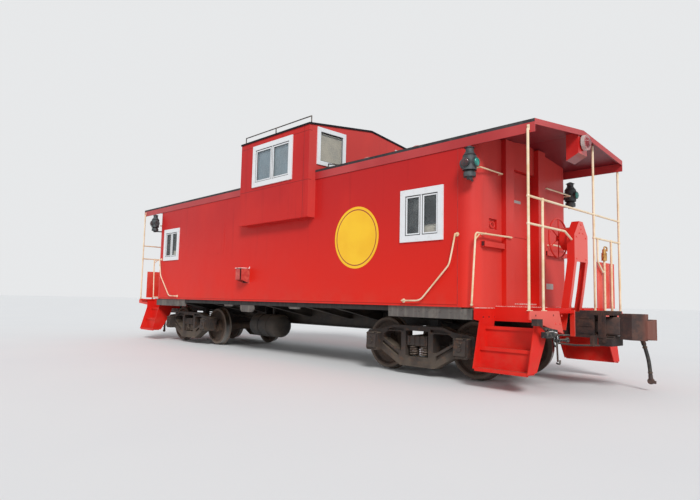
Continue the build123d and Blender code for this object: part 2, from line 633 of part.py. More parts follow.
def side_window(x, z, width, height, face, side):
    half_w, half_h = width / 2 + WINDOW_TRIM - TRIM_COVER, height / 2 + WINDOW_TRIM - TRIM_COVER
    open_w, open_h = width / 2 - TRIM_COVER, height / 2 - TRIM_COVER
    at = lambda half_x, near, far, half_z: block(
        x - half_x, x + half_x, side * (face + near), side * (face + far), z - half_z, z + half_z
    )
    frame = at(half_w, 0, TRIM_PROUD, half_h) - at(open_w, -1, TRIM_PROUD + 1, open_h)
    mullion = at(16, -GLASS_BACK, 10, open_h)
    glass = at(open_w + GLASS_LAP, -GLASS_BACK - GLASS, -GLASS_BACK, open_h + GLASS_LAP)
    edge = at(width / 2 - 0.5, -LINING, 0, height / 2 - 0.5) - at(open_w, -LINING - 1, 1, open_h)
    return frame + mullion + (edge - glass), glass


def end_window(y, z, width, height, face, facing):
    half_w, half_h = width / 2 + END_WINDOW_TRIM - TRIM_COVER, height / 2 + END_WINDOW_TRIM - TRIM_COVER
    open_w, open_h = width / 2 - TRIM_COVER, height / 2 - TRIM_COVER
    at = lambda half_y, near, far, half_z: block(
        face + facing * near, face + facing * far, y - half_y, y + half_y, z - half_z, z + half_z
    )
    frame = at(half_w, 0, TRIM_PROUD, half_h) - at(open_w, -1, TRIM_PROUD + 1, open_h)
    glass = at(open_w + GLASS_LAP, -GLASS_BACK - GLASS, -GLASS_BACK, open_h + GLASS_LAP)
    edge = at(width / 2 - 0.5, -LINING, 0, height / 2 - 0.5) - at(open_w, -LINING - 1, 1, open_h)
    return frame + (edge - glass), glass


# Platform with step wells, its cross bearer, and its end sill
def platform():
    back = END_SILL_X - END_SILL_PLATE
    deck = block(BODY_HALF_LENGTH, STEP_OUTER_X, -WELL_Y, WELL_Y, DECK_LOW, DECK_TOP)
    deck += block(STEP_OUTER_X - 20, back, 40 - END_SILL_HALF, END_SILL_HALF - 40, DECK_LOW - SHELF, DECK_LOW)
    low, high = DECK_LOW - SHELF - 1, DECK_TOP + 1
    deck -= block(CROSS_BEARER_X - 60, END_SILL_X, -STAND_HALF, STAND_HALF, low, high)
    for side in (1, -1):
        cheek, well = side * (WELL_Y - 12), side * WELL_Y
        deck += block(BODY_HALF_LENGTH, STEP_OUTER_X, cheek, well, DECK_TOP - WELL_DEPTH, DECK_LOW + 1)
        web = (CROSS_BEARER_X, CROSS_BEARER_X + 12)
        deck += block(*web, side * STAND_HALF, well, DECK_LOW - 245, DECK_LOW + 1)
    return deck


# Its outline on one side: from the middle of the car, from the deck's top
END_SILL_OUTLINE = [
    (579.0, -340.0), (702.0, -DECK), (END_SILL_HALF - 30, -DECK), (END_SILL_HALF - 9, -DECK - 9),
    (END_SILL_HALF, -DECK - 30), (END_SILL_HALF, -146.0),
]


def end_sill(side):
    outline = [(side * y, DECK_TOP + z) for y, z in END_SILL_OUTLINE]
    return prism_x(outline, END_SILL_X - END_SILL_PLATE, END_SILL_X)


# Stringer outlines: from the body's side, from the deck's top
INNER_STRINGER = [
    (0.0, SIDE_BOTTOM - DECK_TOP), (0.0, -177.0), (-127.0, -196.0), (30.0, -822.0), (-200.0, -823.0),
    (-440.0, -432.0), (WELL_Y - BODY_HALF_WIDTH, -215.0), (WELL_Y - BODY_HALF_WIDTH, SIDE_BOTTOM - DECK_TOP),
]
OUTER_STRINGER = [
    (-143.0, -DECK - SHELF), (-143.0, -259.0), (22.0, -830.0), (-202.0, -814.0), (-431.0, -429.0),
    (WELL_Y - BODY_HALF_WIDTH, -213.0), (WELL_Y - BODY_HALF_WIDTH, -DECK - SHELF),
]


def steps(side):
    """A flight of three steps between two stringers, with closed risers."""
    at = lambda points: [(side * (BODY_HALF_WIDTH + y), DECK_TOP + z) for y, z in points]
    inner_x, outer_x = BODY_HALF_LENGTH, STEP_OUTER_X
    flight = prism_x(at(INNER_STRINGER), inner_x - STRINGER, inner_x)
    flight += prism_x(at(OUTER_STRINGER), outer_x, outer_x + STRINGER)
    inner_x, outer_x = inner_x - 1, outer_x + 1
    treads = [(BODY_HALF_WIDTH + y, DECK_TOP + z) for y, z in TREADS]
    backs = [front - TREAD_NOSING for front, _ in treads[1:]] + [treads[-1][0] - 190]
    for (front, z), back in zip(treads, backs):
        flight += block(inner_x, outer_x, side * front, side * back, z - TREAD, z)
        flight += block(inner_x, outer_x, side * front, side * (front - 8), z - TREAD - 14, z + 8)
    for (_, low), (_, high), back in zip(treads, treads[1:], backs):
        flight += block(inner_x, outer_x, side * back, side * (back - 8), low - TREAD, high - TREAD)
    return flight


# Railings of end a
def railing():
    foot = DECK_LOW
    eave = LETTERBOARD_Z + 50
    posts = [
        (-CORNER_POST_Y, eave), (-NEAR_POST_Y, RAIL_TOP_Z), (LADDER_POST_Y, roof_under(LADDER_POST_Y) - 3),
        (INNER_POST_Y, RAIL_LOW_Z), (CORNER_POST_Y, eave),
    ]
    thin = RAIL_RADIUS - 2
    rails = None
    for y, top in posts:
        post = rod((RAIL_X, y, foot), (RAIL_X, y, top), RAIL_RADIUS)
        inward = -1 if y > 0 else 1
        post += block(RAIL_X - 20, RAIL_X + 20, y - inward * 22, y + inward * 58, foot, foot + 9)
        rails = post if rails is None else rails + post
    rails += rod((RAIL_X, -CORNER_POST_Y, RAIL_TOP_Z), (RAIL_X, CORNER_POST_Y, RAIL_TOP_Z), thin)
    rails += rod((RAIL_X, LADDER_POST_Y, RAIL_LOW_Z), (RAIL_X, CORNER_POST_Y, RAIL_LOW_Z), thin)
    rails += pipe(
        [(RAIL_X, -CORNER_POST_Y, RAIL_LOW_Z), (RAIL_X, -STAND_HALF - 245, RAIL_LOW_Z),
         (RAIL_X - 20, 8 - STAND_HALF, RAIL_LOW_Z - 90)],
        thin, 120,
    )
    bend_z = DECK_TOP + 555
    rails += pipe(
        [(RAIL_X, VALVE_Y - 240, RAIL_LOW_Z), (RAIL_X, VALVE_Y - 240, bend_z + 140),
         (RAIL_X, VALVE_Y - 62, bend_z), (RAIL_X, VALVE_Y - 10, bend_z)],
        thin, 60,
    )
    joints = [(y, RAIL_TOP_Z) for y in (-CORNER_POST_Y, -NEAR_POST_Y, LADDER_POST_Y, CORNER_POST_Y)]
    low_posts = (-CORNER_POST_Y, -NEAR_POST_Y, LADDER_POST_Y, INNER_POST_Y, CORNER_POST_Y)
    joints += [(y, RAIL_LOW_Z) for y in low_posts]
    for y, z in joints:
        rails += Pos(RAIL_X, y, z) * Sphere(RAIL_RADIUS + 7)
    rails -= block(RAIL_X - 200, RAIL_X + 100, -STAND_HALF, STAND_HALF, foot, RAIL_LOW_Z + 40)
    return rails - rod((RAIL_X, VALVE_Y, foot), (RAIL_X, VALVE_Y, RAIL_LOW_Z - 40), VALVE_PIPE + RUNNING_GAP)


def valve_pipe():
    """The conductor's valve and whistle on its pipe, at the railing."""
    pipe_top = DECK_TOP + 730
    piece = rod((RAIL_X, VALVE_Y, DECK_LOW), (RAIL_X, VALVE_Y, pipe_top), VALVE_PIPE)
    piece += rod((RAIL_X, VALVE_Y, pipe_top), (RAIL_X, VALVE_Y, pipe_top + 120), 40)
    piece += rod((RAIL_X, VALVE_Y, pipe_top + 120), (RAIL_X, VALVE_Y, pipe_top + 175), 28)
    piece += rod((RAIL_X, VALVE_Y - 70, pipe_top + 60), (RAIL_X, VALVE_Y + 70, pipe_top + 60), 18)
    piece += pipe(
        [(RAIL_X, VALVE_Y, pipe_top + 170), (RAIL_X, VALVE_Y, pipe_top + 215),
         (RAIL_X, VALVE_Y + 110, pipe_top + 215), (RAIL_X, VALVE_Y + 110, pipe_top + 150)],
        11, 30,
    )
    return piece


def shield():
    """The plate at the railing's foot, behind the posts."""
    near, far = INNER_POST_Y - 458, INNER_POST_Y + 195
    plate = block(SHIELD_X - 10, SHIELD_X, near, far, DECK_TOP, DECK_TOP + 705)
    return plate + block(SHIELD_X - 34, SHIELD_X, near, far, DECK_TOP, DECK_TOP + 10)


def collision_stand():
    """The tapered stand at the platform's end: two legs with flanges, a closed head, on the draft housing."""
    front = [(END_SILL_X + x, DECK_TOP + z) for x, z in STAND_FRONT]
    strip = lambda depth: front + [(x - depth, z) for x, z in reversed(front)]
    stand = None
    for side in (1, -1):
        outer, inner = side * STAND_HALF, side * (STAND_HALF - STAND_PLATE)
        leg = prism_y(strip(STAND_DEPTH), inner, outer)
        leg += prism_y(strip(STAND_PLATE), side * (STAND_HALF - STAND_FLANGE), outer)
        stand = leg if stand is None else stand + leg
    face_x = front[0][0]
    back_x = face_x - STAND_DEPTH
    shoulder = [
        (STAND_HALF, STAND_SHOULDER_Z), (STAND_TIP, STAND_APEX_Z), (-STAND_TIP, STAND_APEX_Z),
        (-STAND_HALF, STAND_SHOULDER_Z),
    ]
    head = [(-STAND_HALF, STAND_HEAD_Z), (STAND_HALF, STAND_HEAD_Z)] + shoulder
    stand += prism_x(head, face_x - STAND_PLATE, face_x)
    back_z = STAND_SHOULDER_Z - 220
    back = [(-STAND_HALF, back_z), (STAND_HALF, back_z)] + shoulder
    stand += prism_x(back, back_x, back_x + STAND_PLATE)
    for side in (1, -1):
        edge = [(side * STAND_HALF, STAND_SHOULDER_Z), (side * STAND_TIP, STAND_APEX_Z)]
        stand += prism_x(edge + [(y, z - 14) for y, z in reversed(edge)], back_x, face_x)
    stand += block(back_x, face_x, -STAND_TIP, STAND_TIP, STAND_APEX_Z - STAND_PLATE, STAND_APEX_Z)
    return stand - block(HOUSING_BACK - 200, face_x, -HOUSING_HALF, HOUSING_HALF, 0, FLOOR_BOTTOM)


def brake_housing():
    """The hand brake's round gear case on the back of the stand, with the guard over its chain."""
    back = END_SILL_X + STAND_FRONT[0][0] - STAND_DEPTH
    front = BRAKE_WHEEL_X + 75
    case = rod((front, 0, BRAKE_WHEEL_Z - 20), (back, 0, BRAKE_WHEEL_Z - 20), BRAKE_CASE)
    case = fillet(case.edges().filter_by(GeomType.CIRCLE).sort_by(Axis.X)[0], 30)
    case += block(back - 70, back, -55, 55, BRAKE_WHEEL_Z - 330, BRAKE_WHEEL_Z - 100)
    case += rod((front - 30, 0, BRAKE_WHEEL_Z), (front + 1, 0, BRAKE_WHEEL_Z), 48)
    bore = BRAKE_SHAFT + RUNNING_GAP
    return case - rod((front - 40, 0, BRAKE_WHEEL_Z), (front + 90, 0, BRAKE_WHEEL_Z), bore)


def brake_wheel():
    x, z = BRAKE_WHEEL_X, BRAKE_WHEEL_Z
    ring = Torus(BRAKE_WHEEL_RADIUS - BRAKE_WHEEL_RIM, BRAKE_WHEEL_RIM).rotate(Axis.Y, 90)
    wheel_piece = Pos(x, 0, z) * ring
    spokes = []
    for spoke in range(BRAKE_SPOKES):
        angle = math.radians(360 * spoke / BRAKE_SPOKES + 30)
        near, reach = BRAKE_HUB - 12, BRAKE_WHEEL_RADIUS - BRAKE_WHEEL_RIM - 4
        root = (x + 6, near * math.cos(angle), z + near * math.sin(angle))
        tip = (x, reach * math.cos(angle), z + reach * math.sin(angle))
        spokes.append(rod(root, tip, 9))
    hub = rod((x - 18, 0, z), (x + 40, 0, z), BRAKE_HUB) + rod((x + 40, 0, z), (x + 150, 0, z), BRAKE_SHAFT)
    return wheel_piece + spokes + hub


# Coupler and its housing
def draft_housing():
    """The cast housing of the coupler: a box behind the end sill, ribs and side slots before it, and a lintel
    over its mouth."""
    half = HOUSING_HALF
    outer = block(HOUSING_BACK, HOUSING_FRONT, -half, half, HOUSING_BOTTOM, HOUSING_TOP)
    outer += block(END_SILL_X + 50, HOUSING_FRONT, -half, half, HOUSING_TOP - 1, HOUSING_TOP + 25)
    void = block(
        HOUSING_BACK + 60, HOUSING_FRONT + 1, -HOUSING_HALF + HOUSING_WALL, HOUSING_HALF - HOUSING_WALL,
        HOUSING_BOTTOM + HOUSING_WALL, HOUSING_TOP - HOUSING_WALL,
    )
    housing = outer - void
    slot_low, slot_high = HOUSING_BOTTOM + 35, HOUSING_TOP - 35
    for side in (1, -1):
        inner, outside = side * (half - 50), side * (half + 50)
        housing -= block(HOUSING_BACK - 20, END_SILL_X - 10, inner, outside, 0, DECK_TOP + 50)
        housing -= block(HOUSING_FRONT - 115, HOUSING_FRONT - 60, inner, outside, slot_low, slot_high)
        rib = (END_SILL_X + 50, HOUSING_FRONT - 135, side * half, side * (half + 10))
        for z in (HOUSING_BOTTOM + 60, COUPLER_Z + 15, HOUSING_TOP - 75):
            housing += block(*rib, z - 9, z + 9)
    housing += block(HOUSING_FRONT - 1, HOUSING_FRONT + 120, -150, 150, HOUSING_TOP - 35, HOUSING_TOP + 25)
    shank_low, shank_high = COUPLER_Z - SHANK_HEIGHT / 2, COUPLER_Z + SHANK_HEIGHT / 2
    pin_low, pin_high = HOUSING_BOTTOM + 1, HOUSING_TOP - 1
    housing += rod((COUPLER_PIVOT_X, 0, pin_low), (COUPLER_PIVOT_X, 0, pin_high), COUPLER_PIN)
    for low, high in ((pin_low, shank_low - RUNNING_GAP), (shank_high + RUNNING_GAP, pin_high)):
        housing += rod((COUPLER_PIVOT_X, 0, low), (COUPLER_PIVOT_X, 0, high), SHANK_HALF + 15)
    return housing


# Plans of the head, of the lug over it and of the knuckle: from the coupler's pulling face, across the car
HEAD_PLAN = [
    (-400.0, 80.0), (-290.0, 150.0), (-150.0, 165.0), (-40.0, 190.0), (-20.0, 150.0), (-100.0, 90.0),
    (-140.0, 30.0), (-140.0, -60.0), (-60.0, -70.0), (-60.0, -150.0), (-220.0, -165.0), (-400.0, -80.0),
]
LUG_PLAN = [
    (-420.0, 55.0), (-250.0, 105.0), (-130.0, 60.0), (-60.0, -40.0), (-60.0, -150.0), (-220.0, -158.0),
    (-420.0, -55.0),
]
KNUCKLE_PLAN = [
    (-59.0, -151.0), (-59.0, -69.0), (-130.0, -59.0), (-130.0, 20.0), (-90.0, 60.0), (-20.0, 70.0),
    (0.0, 30.0), (0.0, -70.0), (-14.0, -130.0), (-34.0, -152.0),
]


def coupler():
    """The coupler's shank, which deepens towards the head, and its head with a lug over the knuckle's pin."""
    low, high = COUPLER_Z - SHANK_HEIGHT / 2, COUPLER_Z + SHANK_HEIGHT / 2
    root, neck = COUPLER_PIVOT_X, COUPLER_FACE_X - 395
    outline = [
        (root, low), (root + 120, low), (neck, low - 30), (neck, high + 25), (root + 120, high), (root, high),
    ]
    shank = prism_y(outline, -SHANK_HALF, SHANK_HALF)
    shank += rod((root, 0, low), (root, 0, high), SHANK_HALF)
    plan = lambda points: [(COUPLER_FACE_X + x, y) for x, y in points]
    head = prism_z(plan(HEAD_PLAN), COUPLER_Z - 150, COUPLER_Z + 120)
    head += prism_z(plan(LUG_PLAN), COUPLER_Z + 119, COUPLER_Z + 190)
    piece = shank + head
    piece -= rod((root, 0, low - 1), (root, 0, high + 1), COUPLER_PIN + RUNNING_GAP)
    return piece


def knuckle():
    plan = [(COUPLER_FACE_X + x, y) for x, y in KNUCKLE_PLAN]
    piece = prism_z(plan, COUPLER_Z - 128, COUPLER_Z + 107)
    return fillet(piece.edges().filter_by(Axis.Z).sort_by(Axis.X)[-3:], 12)


def uncoupling_lever():
    """The cut lever on the right of end a: bracket on the end sill, hanging handle, rod to the coupler."""
    x = END_SILL_X + 60
    bracket_y = (50 - END_SILL_HALF, 200 - END_SILL_HALF)
    bracket = block(END_SILL_X, END_SILL_X + 70, *bracket_y, DECK_TOP - 223, DECK_TOP - 140)
    crank = (x, 590 - END_SILL_HALF, COUPLER_Z - 200)
    top, handle = (x, 130 - END_SILL_HALF, COUPLER_Z + 45), (x, 610 - END_SILL_HALF, COUPLER_Z - 440)
    piece = bracket + pipe([top, crank, handle], 12, 40)
    end = (HOUSING_FRONT - 30, -250, COUPLER_Z - 240)
    piece += pipe([crank, (x + 60, -500, COUPLER_Z - 240), end], 12, 60)
    piece += Sphere(12).moved(Location(end))
    hanger = (HOUSING_FRONT - 110, HOUSING_FRONT - 70)
    return piece + block(*hanger, -345, -HOUSING_HALF, COUPLER_Z - 252, HOUSING_BOTTOM + 30)


def angle_cock():
    """The brake pipe's end with its cock, on the left of end a, hung from the platform's cross bearer."""
    start_x = CROSS_BEARER_X - 20
    hose_x, hose_z = HOSE_ROUTE[0]
    dx, dz = HOSE_ROUTE[1][0] - hose_x, HOSE_ROUTE[1][1] - hose_z
    length = math.hypot(dx, dz)
    up = (-dx / length, -dz / length)
    neck = (hose_x + up[0] * 60, HOSE_Y, hose_z + up[1] * 60)
    pipe_run = rod((start_x, HOSE_Y, neck[2] + 20), (neck[0] - 20, HOSE_Y, neck[2] + 20), 21)
    cock = Pos(neck[0], HOSE_Y, neck[2] + 20) * Sphere(44)
    cock += rod((neck[0], HOSE_Y, neck[2] + 20), (neck[0], HOSE_Y, neck[2] + 85), 16)
    cock += block(neck[0] - 20, neck[0] + 90, HOSE_Y - 14, HOSE_Y + 14, neck[2] + 78, neck[2] + 90)
    spout = rod((hose_x + up[0] * 85, HOSE_Y, hose_z + up[1] * 85), (hose_x, HOSE_Y, hose_z), HOSE_RADIUS + 5)
    hanger = block(CROSS_BEARER_X - 12, CROSS_BEARER_X, HOSE_Y - 30, HOSE_Y + 30, neck[2], DECK_LOW - 160)
    return pipe_run + cock + spout + hanger


def air_hose():
    path = [(x, HOSE_Y, z) for x, z in HOSE_ROUTE]
    radii = []
    for before, at, after in zip(path, path[1:], path[2:]):
        run_in, run_out = Vector(*at) - Vector(*before), Vector(*after) - Vector(*at)
        turn = math.radians(run_in.get_angle(run_out))
        radii.append(HOSE_BENDS * min(run_in.length, run_out.length) / math.tan(turn / 2))
    line = FilletPolyline(*path, radius=radii)
    return sweep(Plane(line @ 0, z_dir=line % 0) * Circle(HOSE_RADIUS), path=line)


def hose_head():
    """The coupling head on the free end of the hose."""
    (x0, z0), (x1, z1) = HOSE_ROUTE[-2:]
    length = math.hypot(x1 - x0, z1 - z0)
    ux, uz = (x1 - x0) / length, (z1 - z0) / length
    at = lambda d: (x1 + ux * d, HOSE_Y, z1 + uz * d)
    piece = rod(at(0), at(55), HOSE_RADIUS + 3)
    head = Pos(*at(80)) * Cylinder(42, 36).rotate(Axis.X, 90)
    head += Pos(*at(80)) * block(-12, 62, -14, 14, -30, 8)
    return piece + head


# Lamps
def end_light():
    """The end light before the roof's fascia, and the box behind it with its hood."""
    back = ROOF_HALF_LENGTH - 200
    front = ROOF_HALF_LENGTH - FASCIA
    low = EAVE_Z - 140
    box = block(back, front, -140, 140, low, roof_under(140))
    box += prism_y([(back, low), (front, low), (front, low - 40), (back, low - 130)], -140, 140)
    lamp_z = EAVE_Z - 15
    front_face = Plane((ROOF_HALF_LENGTH + 55, 0, lamp_z), z_dir=(1, 0, 0))
    lens = front_face * Cone(80, 48, 35, align=(Align.CENTER, Align.CENTER, Align.MIN))
    return [box, rod((ROOF_HALF_LENGTH, 0, lamp_z), (ROOF_HALF_LENGTH + 55, 0, lamp_z), 112) + lens]


def marker_lamp(side, core):
    """A marker lamp on its bracket at a corner of the body."""
    x, y, z = BODY_HALF_LENGTH - 12, side * (BODY_HALF_WIDTH + 103), EAVE_Z - 450
    lamp = Pos(x, y, z) * Cylinder(95, 200)
    lamp += Pos(x, y, z + 130) * Cone(95, 55, 60)
    lamp += Pos(x, y, z + 185) * Cylinder(55, 50)
    lamp += Pos(x, y, z + 225) * Cone(75, 20, 30)
    lamp += Pos(x, y, z - 115) * Cylinder(70, 30)
    lamp += Pos(x, y, z - 160) * Cylinder(84, 60)
    lamp += Pos(x, y, z - 203) * Cylinder(40, 40)
    for lens in ((118, 0), (-118, 0), (0, side * 112)):
        lamp += rod((x, y, z), (x + lens[0], y + lens[1], z), 66)
    corner = CORNER_RADIUS * (1 - math.sqrt(0.5))
    root = (BODY_HALF_LENGTH - corner - 20, side * (BODY_HALF_WIDTH - corner - 20), z - 203)
    lamp += rod(root, (x, y, z - 203), 16)
    return lamp - core


# Grab irons
def side_grab(side):
    """The curved hand iron on a side near end a."""
    face = side * BODY_HALF_WIDTH
    stand = side * (BODY_HALF_WIDTH + 55)
    route = [(-280.0, 1010.0), (-330.0, 785.0), (-380.0, 585.0), (-890.0, 80.0), (-1240.0, 75.0)]
    points = [(BODY_HALF_LENGTH + x, stand, SIDE_BOTTOM + z) for x, z in route]
    rail = pipe(points, 12, 200)
    for x, _, z in (points[0], points[-1]):
        rail += rod((x, face, z), (x, stand, z), 12)
        rail += Sphere(12).moved(Location((x, stand, z)))
        rail += rod((x, face, z), (x, face + side * 10, z), 30)
    return rail


def corner_rail(side, core):
    """The hand rail at a corner of the body: from the sill up, over a braced bend, and across to the door."""
    y, inner = side * (BODY_HALF_WIDTH + 50), side * (BODY_HALF_WIDTH - 782)
    foot_x, bend_x, end_x = BODY_HALF_LENGTH - 12, BODY_HALF_LENGTH + 50, BODY_HALF_LENGTH + JAMB_PROUD + 27
    top = DECK_TOP + 988
    across = lambda at: bend_x + (end_x - bend_x) * (y - at) / (y - inner)
    rail = pipe([(foot_x, y, DECK_TOP + 5), (bend_x, y, top), (end_x, inner, top + 5)], 13, 45)
    on_jamb = abs(inner - DOOR_Y) < DOOR_HALF_WIDTH + JAMB_WIDTH
    root = BODY_HALF_LENGTH + JAMB_PROUD if on_jamb else END_INNER + 20
    for x, at in ((root, inner), (END_INNER + 20, side * (BODY_HALF_WIDTH - 177))):
        rail += rod((x, at, top + 4), (across(at), at, top + 4), 13)
        rail += Sphere(15).moved(Location((across(at), at, top + 4)))
    braced = side * (BODY_HALF_WIDTH - 50)
    rail += rod((bend_x - 6, y, top - 95), (across(braced), braced, top), 9)
    corner = CORNER_RADIUS * (1 - math.sqrt(0.5)) + 20
    foot = (foot_x, y, DECK_TOP + 18)
    rail += rod((BODY_HALF_LENGTH - corner, side * (BODY_HALF_WIDTH - corner), DECK_TOP + 18), foot, 13)
    return rail + Sphere(20).moved(Location(foot)) - core


def end_grab(side, core):
    """The short grab iron high on the end wall."""
    x = BODY_HALF_LENGTH + 60
    z = EAVE_Z - 485
    ends = (DOOR_Y + side * (DOOR_HALF_WIDTH + JAMB_WIDTH + 75), side * (BODY_HALF_WIDTH - 60))
    rail = rod((x, ends[0], z), (x, ends[1], z), 11)
    for y in ends:
        rail += rod((END_INNER - 60, y, z), (x, y, z), 11)
        rail += Sphere(11).moved(Location((x, y, z)))
    return rail - core


def roof_grab(x, side):
    """A grab iron on the roof beside the cupola."""
    y0, y1 = side * (ROOF_HALF_WIDTH - 140), side * (ROOF_HALF_WIDTH - 540)
    lift = 90.0
    rail = rod((x, y0, roof_top(y0) + lift), (x, y1, roof_top(y1) + lift), 11)
    for y in (y0, y1):
        rail += rod((x, y, roof_top(y)), (x, y, roof_top(y) + lift), 11)
        rail += Sphere(11).moved(Location((x, y, roof_top(y) + lift)))
    return rail - roof_prism(ROOF_HALF_WIDTH, roof_top, roof_under, x - 50, x + 50)


CUPOLA_RAIL_POSTS = [CUPOLA_B + 15, (CUPOLA_A + CUPOLA_B) / 2 - 45, CUPOLA_A - 60]


def cupola_rail(side):
    y = side * (CUPOLA_HALF_WIDTH - 90)
    top = CUPOLA_EAVE_Z + 155
    rail = rod((CUPOLA_RAIL_POSTS[0], y, top), (CUPOLA_RAIL_POSTS[-1], y, top), 11)
    for x in CUPOLA_RAIL_POSTS:
        rail += rod((x, y, cupola_top(y) - 5), (x, y, top), 11)
        rail += Sphere(11).moved(Location((x, y, top)))
    half = CUPOLA_HALF_WIDTH + CUPOLA_OVERHANG
    return rail - roof_prism(half, cupola_top, cupola_under, CUPOLA_B - 50, CUPOLA_A + 50)


VENTS = [
    (CUPOLA_A + 800, -880.0), (CUPOLA_A + 1920, -880.0), (CUPOLA_B - 1580, 880.0), (CUPOLA_B - 2700, 880.0),
]


def roof_vent(x, y):
    """A round roof ventilator with a domed cap."""
    base = roof_top(y) - 20
    vent = Pos(x, y, base + 35) * Cylinder(85, 70)
    vent += Pos(x, y, base + 35) * Sphere(130) & Pos(x, y, base + 65 + 60) * Box(300, 300, 120)
    vent += Pos(x, y, base + 35) * Cylinder(85, 70)
    return vent - roof_prism(ROOF_HALF_WIDTH, roof_top, roof_under, x - 200, x + 200)


# Under the floor
TANK_PLACE = (-1010.0, -520.0, FLOOR_BOTTOM - 500.0)
TANK_RADIUS = 245.0
TANK_LENGTH = 1020.0


def air_reservoir():
    x, y, z = TANK_PLACE
    tank = rod((x - TANK_LENGTH / 2, y, z), (x + TANK_LENGTH / 2, y, z), TANK_RADIUS)
    tank = fillet(tank.edges().filter_by(GeomType.CIRCLE), TANK_RADIUS * 0.45)
    for strap in (-1, 1):
        sx = x + strap * TANK_LENGTH * 0.15
        tank += rod((sx - 20, y, z), (sx + 20, y, z), TANK_RADIUS + 8)
        tank += block(sx - 20, sx + 20, y - 30, y + 30, z + TANK_RADIUS - 20, FLOOR_BOTTOM)
    return tank


def battery_box():
    x0, x1, y0, y1 = 350.0, 1050.0, BODY_INNER - 797, BODY_INNER - 177
    box = block(x0, x1, y0, y1, FLOOR_BOTTOM - 485, FLOOR_BOTTOM - 85)
    box = fillet(box.edges().filter_by(Axis.X), 20)
    for x in (x0 + 60, x1 - 60):
        box += block(x - 20, x + 20, y0 + 40, y1 - 40, FLOOR_BOTTOM - 90, FLOOR_BOTTOM)
    return box


def brake_cylinder():
    x, y, z = -700.0, 560.0, FLOOR_BOTTOM - 285
    body = rod((x - 160, y, z), (x + 160, y, z), 150)
    body += rod((x - 185, y, z), (x - 160, y, z), 175)
    body += rod((x + 160, y, z), (x + 520, y, z), 22)
    body += block(x - 120, x + 120, y - 90, y + 90, z + 120, FLOOR_BOTTOM)
    return body


# Its two ends along X, and its depth below the side's bottom
SILL_BRACKETS = [(-1525.0, -1190.0, 121.0), (-890.0, -395.0, 220.0), (770.0, 1100.0, 120.0)]


def sill_bracket(x0, x1, depth, side):
    """A pocket hung under a side sill, with its lower corners cut."""
    bottom = SIDE_BOTTOM - depth
    cut = min(60.0, 0.6 * (SIDE_SILL_BOTTOM - bottom))
    outline = [
        (x0, SIDE_SILL_BOTTOM), (x0, bottom + cut), (x0 + cut, bottom), (x1 - cut, bottom),
        (x1, bottom + cut),
        (x1, SIDE_SILL_BOTTOM),
    ]
    return prism_y(outline, side * BODY_INNER, side * (SIDE_SILL_OUTER - 8))


# Build and write every node
ring = wall_ring()
core = body_core(CORNER_RADIUS, BODY_HALF_LENGTH, BODY_HALF_WIDTH, SIDE_BOTTOM, RIDGE_Z)
side_names = [("right", -1), ("left", 1)]
ends = [("a", lambda shape: shape), ("b", turned)]

save("underframe", [centre_sill()])
save("bearers", [bearer(x, width, side) for x, width in BEARERS for _, side in side_names])
save("side_sills", [side_sill(), mirrored(side_sill())])
floor = block(-END_INNER, END_INNER, -BODY_INNER, BODY_INNER, FLOOR_BOTTOM, FLOOR_TOP)
corner_gap = block(-END_INNER, END_INNER, -BODY_INNER, BODY_INNER, SIDE_BOTTOM, FLOOR_TOP) & ring
save("floor", [floor - corner_gap])
for name, side in side_names:
    save(f"body_side_{name}", [side_wall(ring, side)])
roof_a = main_roof(CUPOLA_A - WALL, ROOF_HALF_LENGTH, ROOF_HALF_LENGTH)
roof_b = main_roof(-ROOF_HALF_LENGTH, CUPOLA_B + WALL, -ROOF_HALF_LENGTH)
save("main_roof", [roof_a, roof_b])
save("cupola_sides", [cupola_side(side) for _, side in side_names])
save("cupola_ends", [cupola_end(CUPOLA_A, CUPOLA_A - WALL), cupola_end(CUPOLA_B, CUPOLA_B + WALL)])
cupola_half = CUPOLA_HALF_WIDTH + CUPOLA_OVERHANG
roof_x = (CUPOLA_B - CUPOLA_OVERHANG, CUPOLA_A + CUPOLA_OVERHANG)
cupola_roof = roof_prism(cupola_half, cupola_top, cupola_under, *roof_x)
save("cupola_roof", [cupola_roof])

frames, panes = [], []
for _, side in side_names:
    for _, x, z, width, height in SIDE_WINDOWS:
        frame, pane = side_window(x, z, width, height, BODY_HALF_WIDTH, side)
        frames.append(frame)
        panes.append(pane)
for _, side in side_names:
    frame, pane = side_window(*CUPOLA_WINDOW, CUPOLA_HALF_WIDTH, side)
    frames.append(frame)
    panes.append(pane)
    for face, facing in ((CUPOLA_A, 1), (CUPOLA_B, -1)):
        y, z, width, height = CUPOLA_END_WINDOW
        frame, pane = end_window(side * y, z, width, height, face, facing)
        frames.append(frame)
        panes.append(pane)
save("window_frames", frames)
save("window_glass", panes)

for name, place in ends:
    save(f"end_wall_{name}", [place(piece) for piece in end_wall(ring)])
    save(f"end_door_{name}", [place(end_door())])
    save(f"brake_wheel_{name}", [place(brake_wheel())])
    save(f"coupler_{name}", [place(coupler()), place(knuckle())])
    save(f"air_hose_{name}", [place(air_hose())])
    save(f"hose_head_{name}", [place(hose_head())])

save("platforms", [place(platform()) for _, place in ends])
save("end_sills", [place(end_sill(side)) for _, place in ends for _, side in side_names])
save("steps", [place(steps(side)) for _, place in ends for _, side in side_names])
save("railings", [place(railing()) for _, place in ends])
save("valve_pipes", [place(piece) for _, place in ends for piece in (valve_pipe(), shield())])
save("collision_stands", [place(collision_stand()) for _, place in ends])
save("brake_housings", [place(brake_housing()) for _, place in ends])
save("draft_housings", [place(draft_housing()) for _, place in ends])
save("uncoupling_levers", [place(uncoupling_lever()) for _, place in ends])
save("angle_cocks", [place(angle_cock()) for _, place in ends])
save("end_lights", [place(piece) for _, place in ends for piece in end_light()])

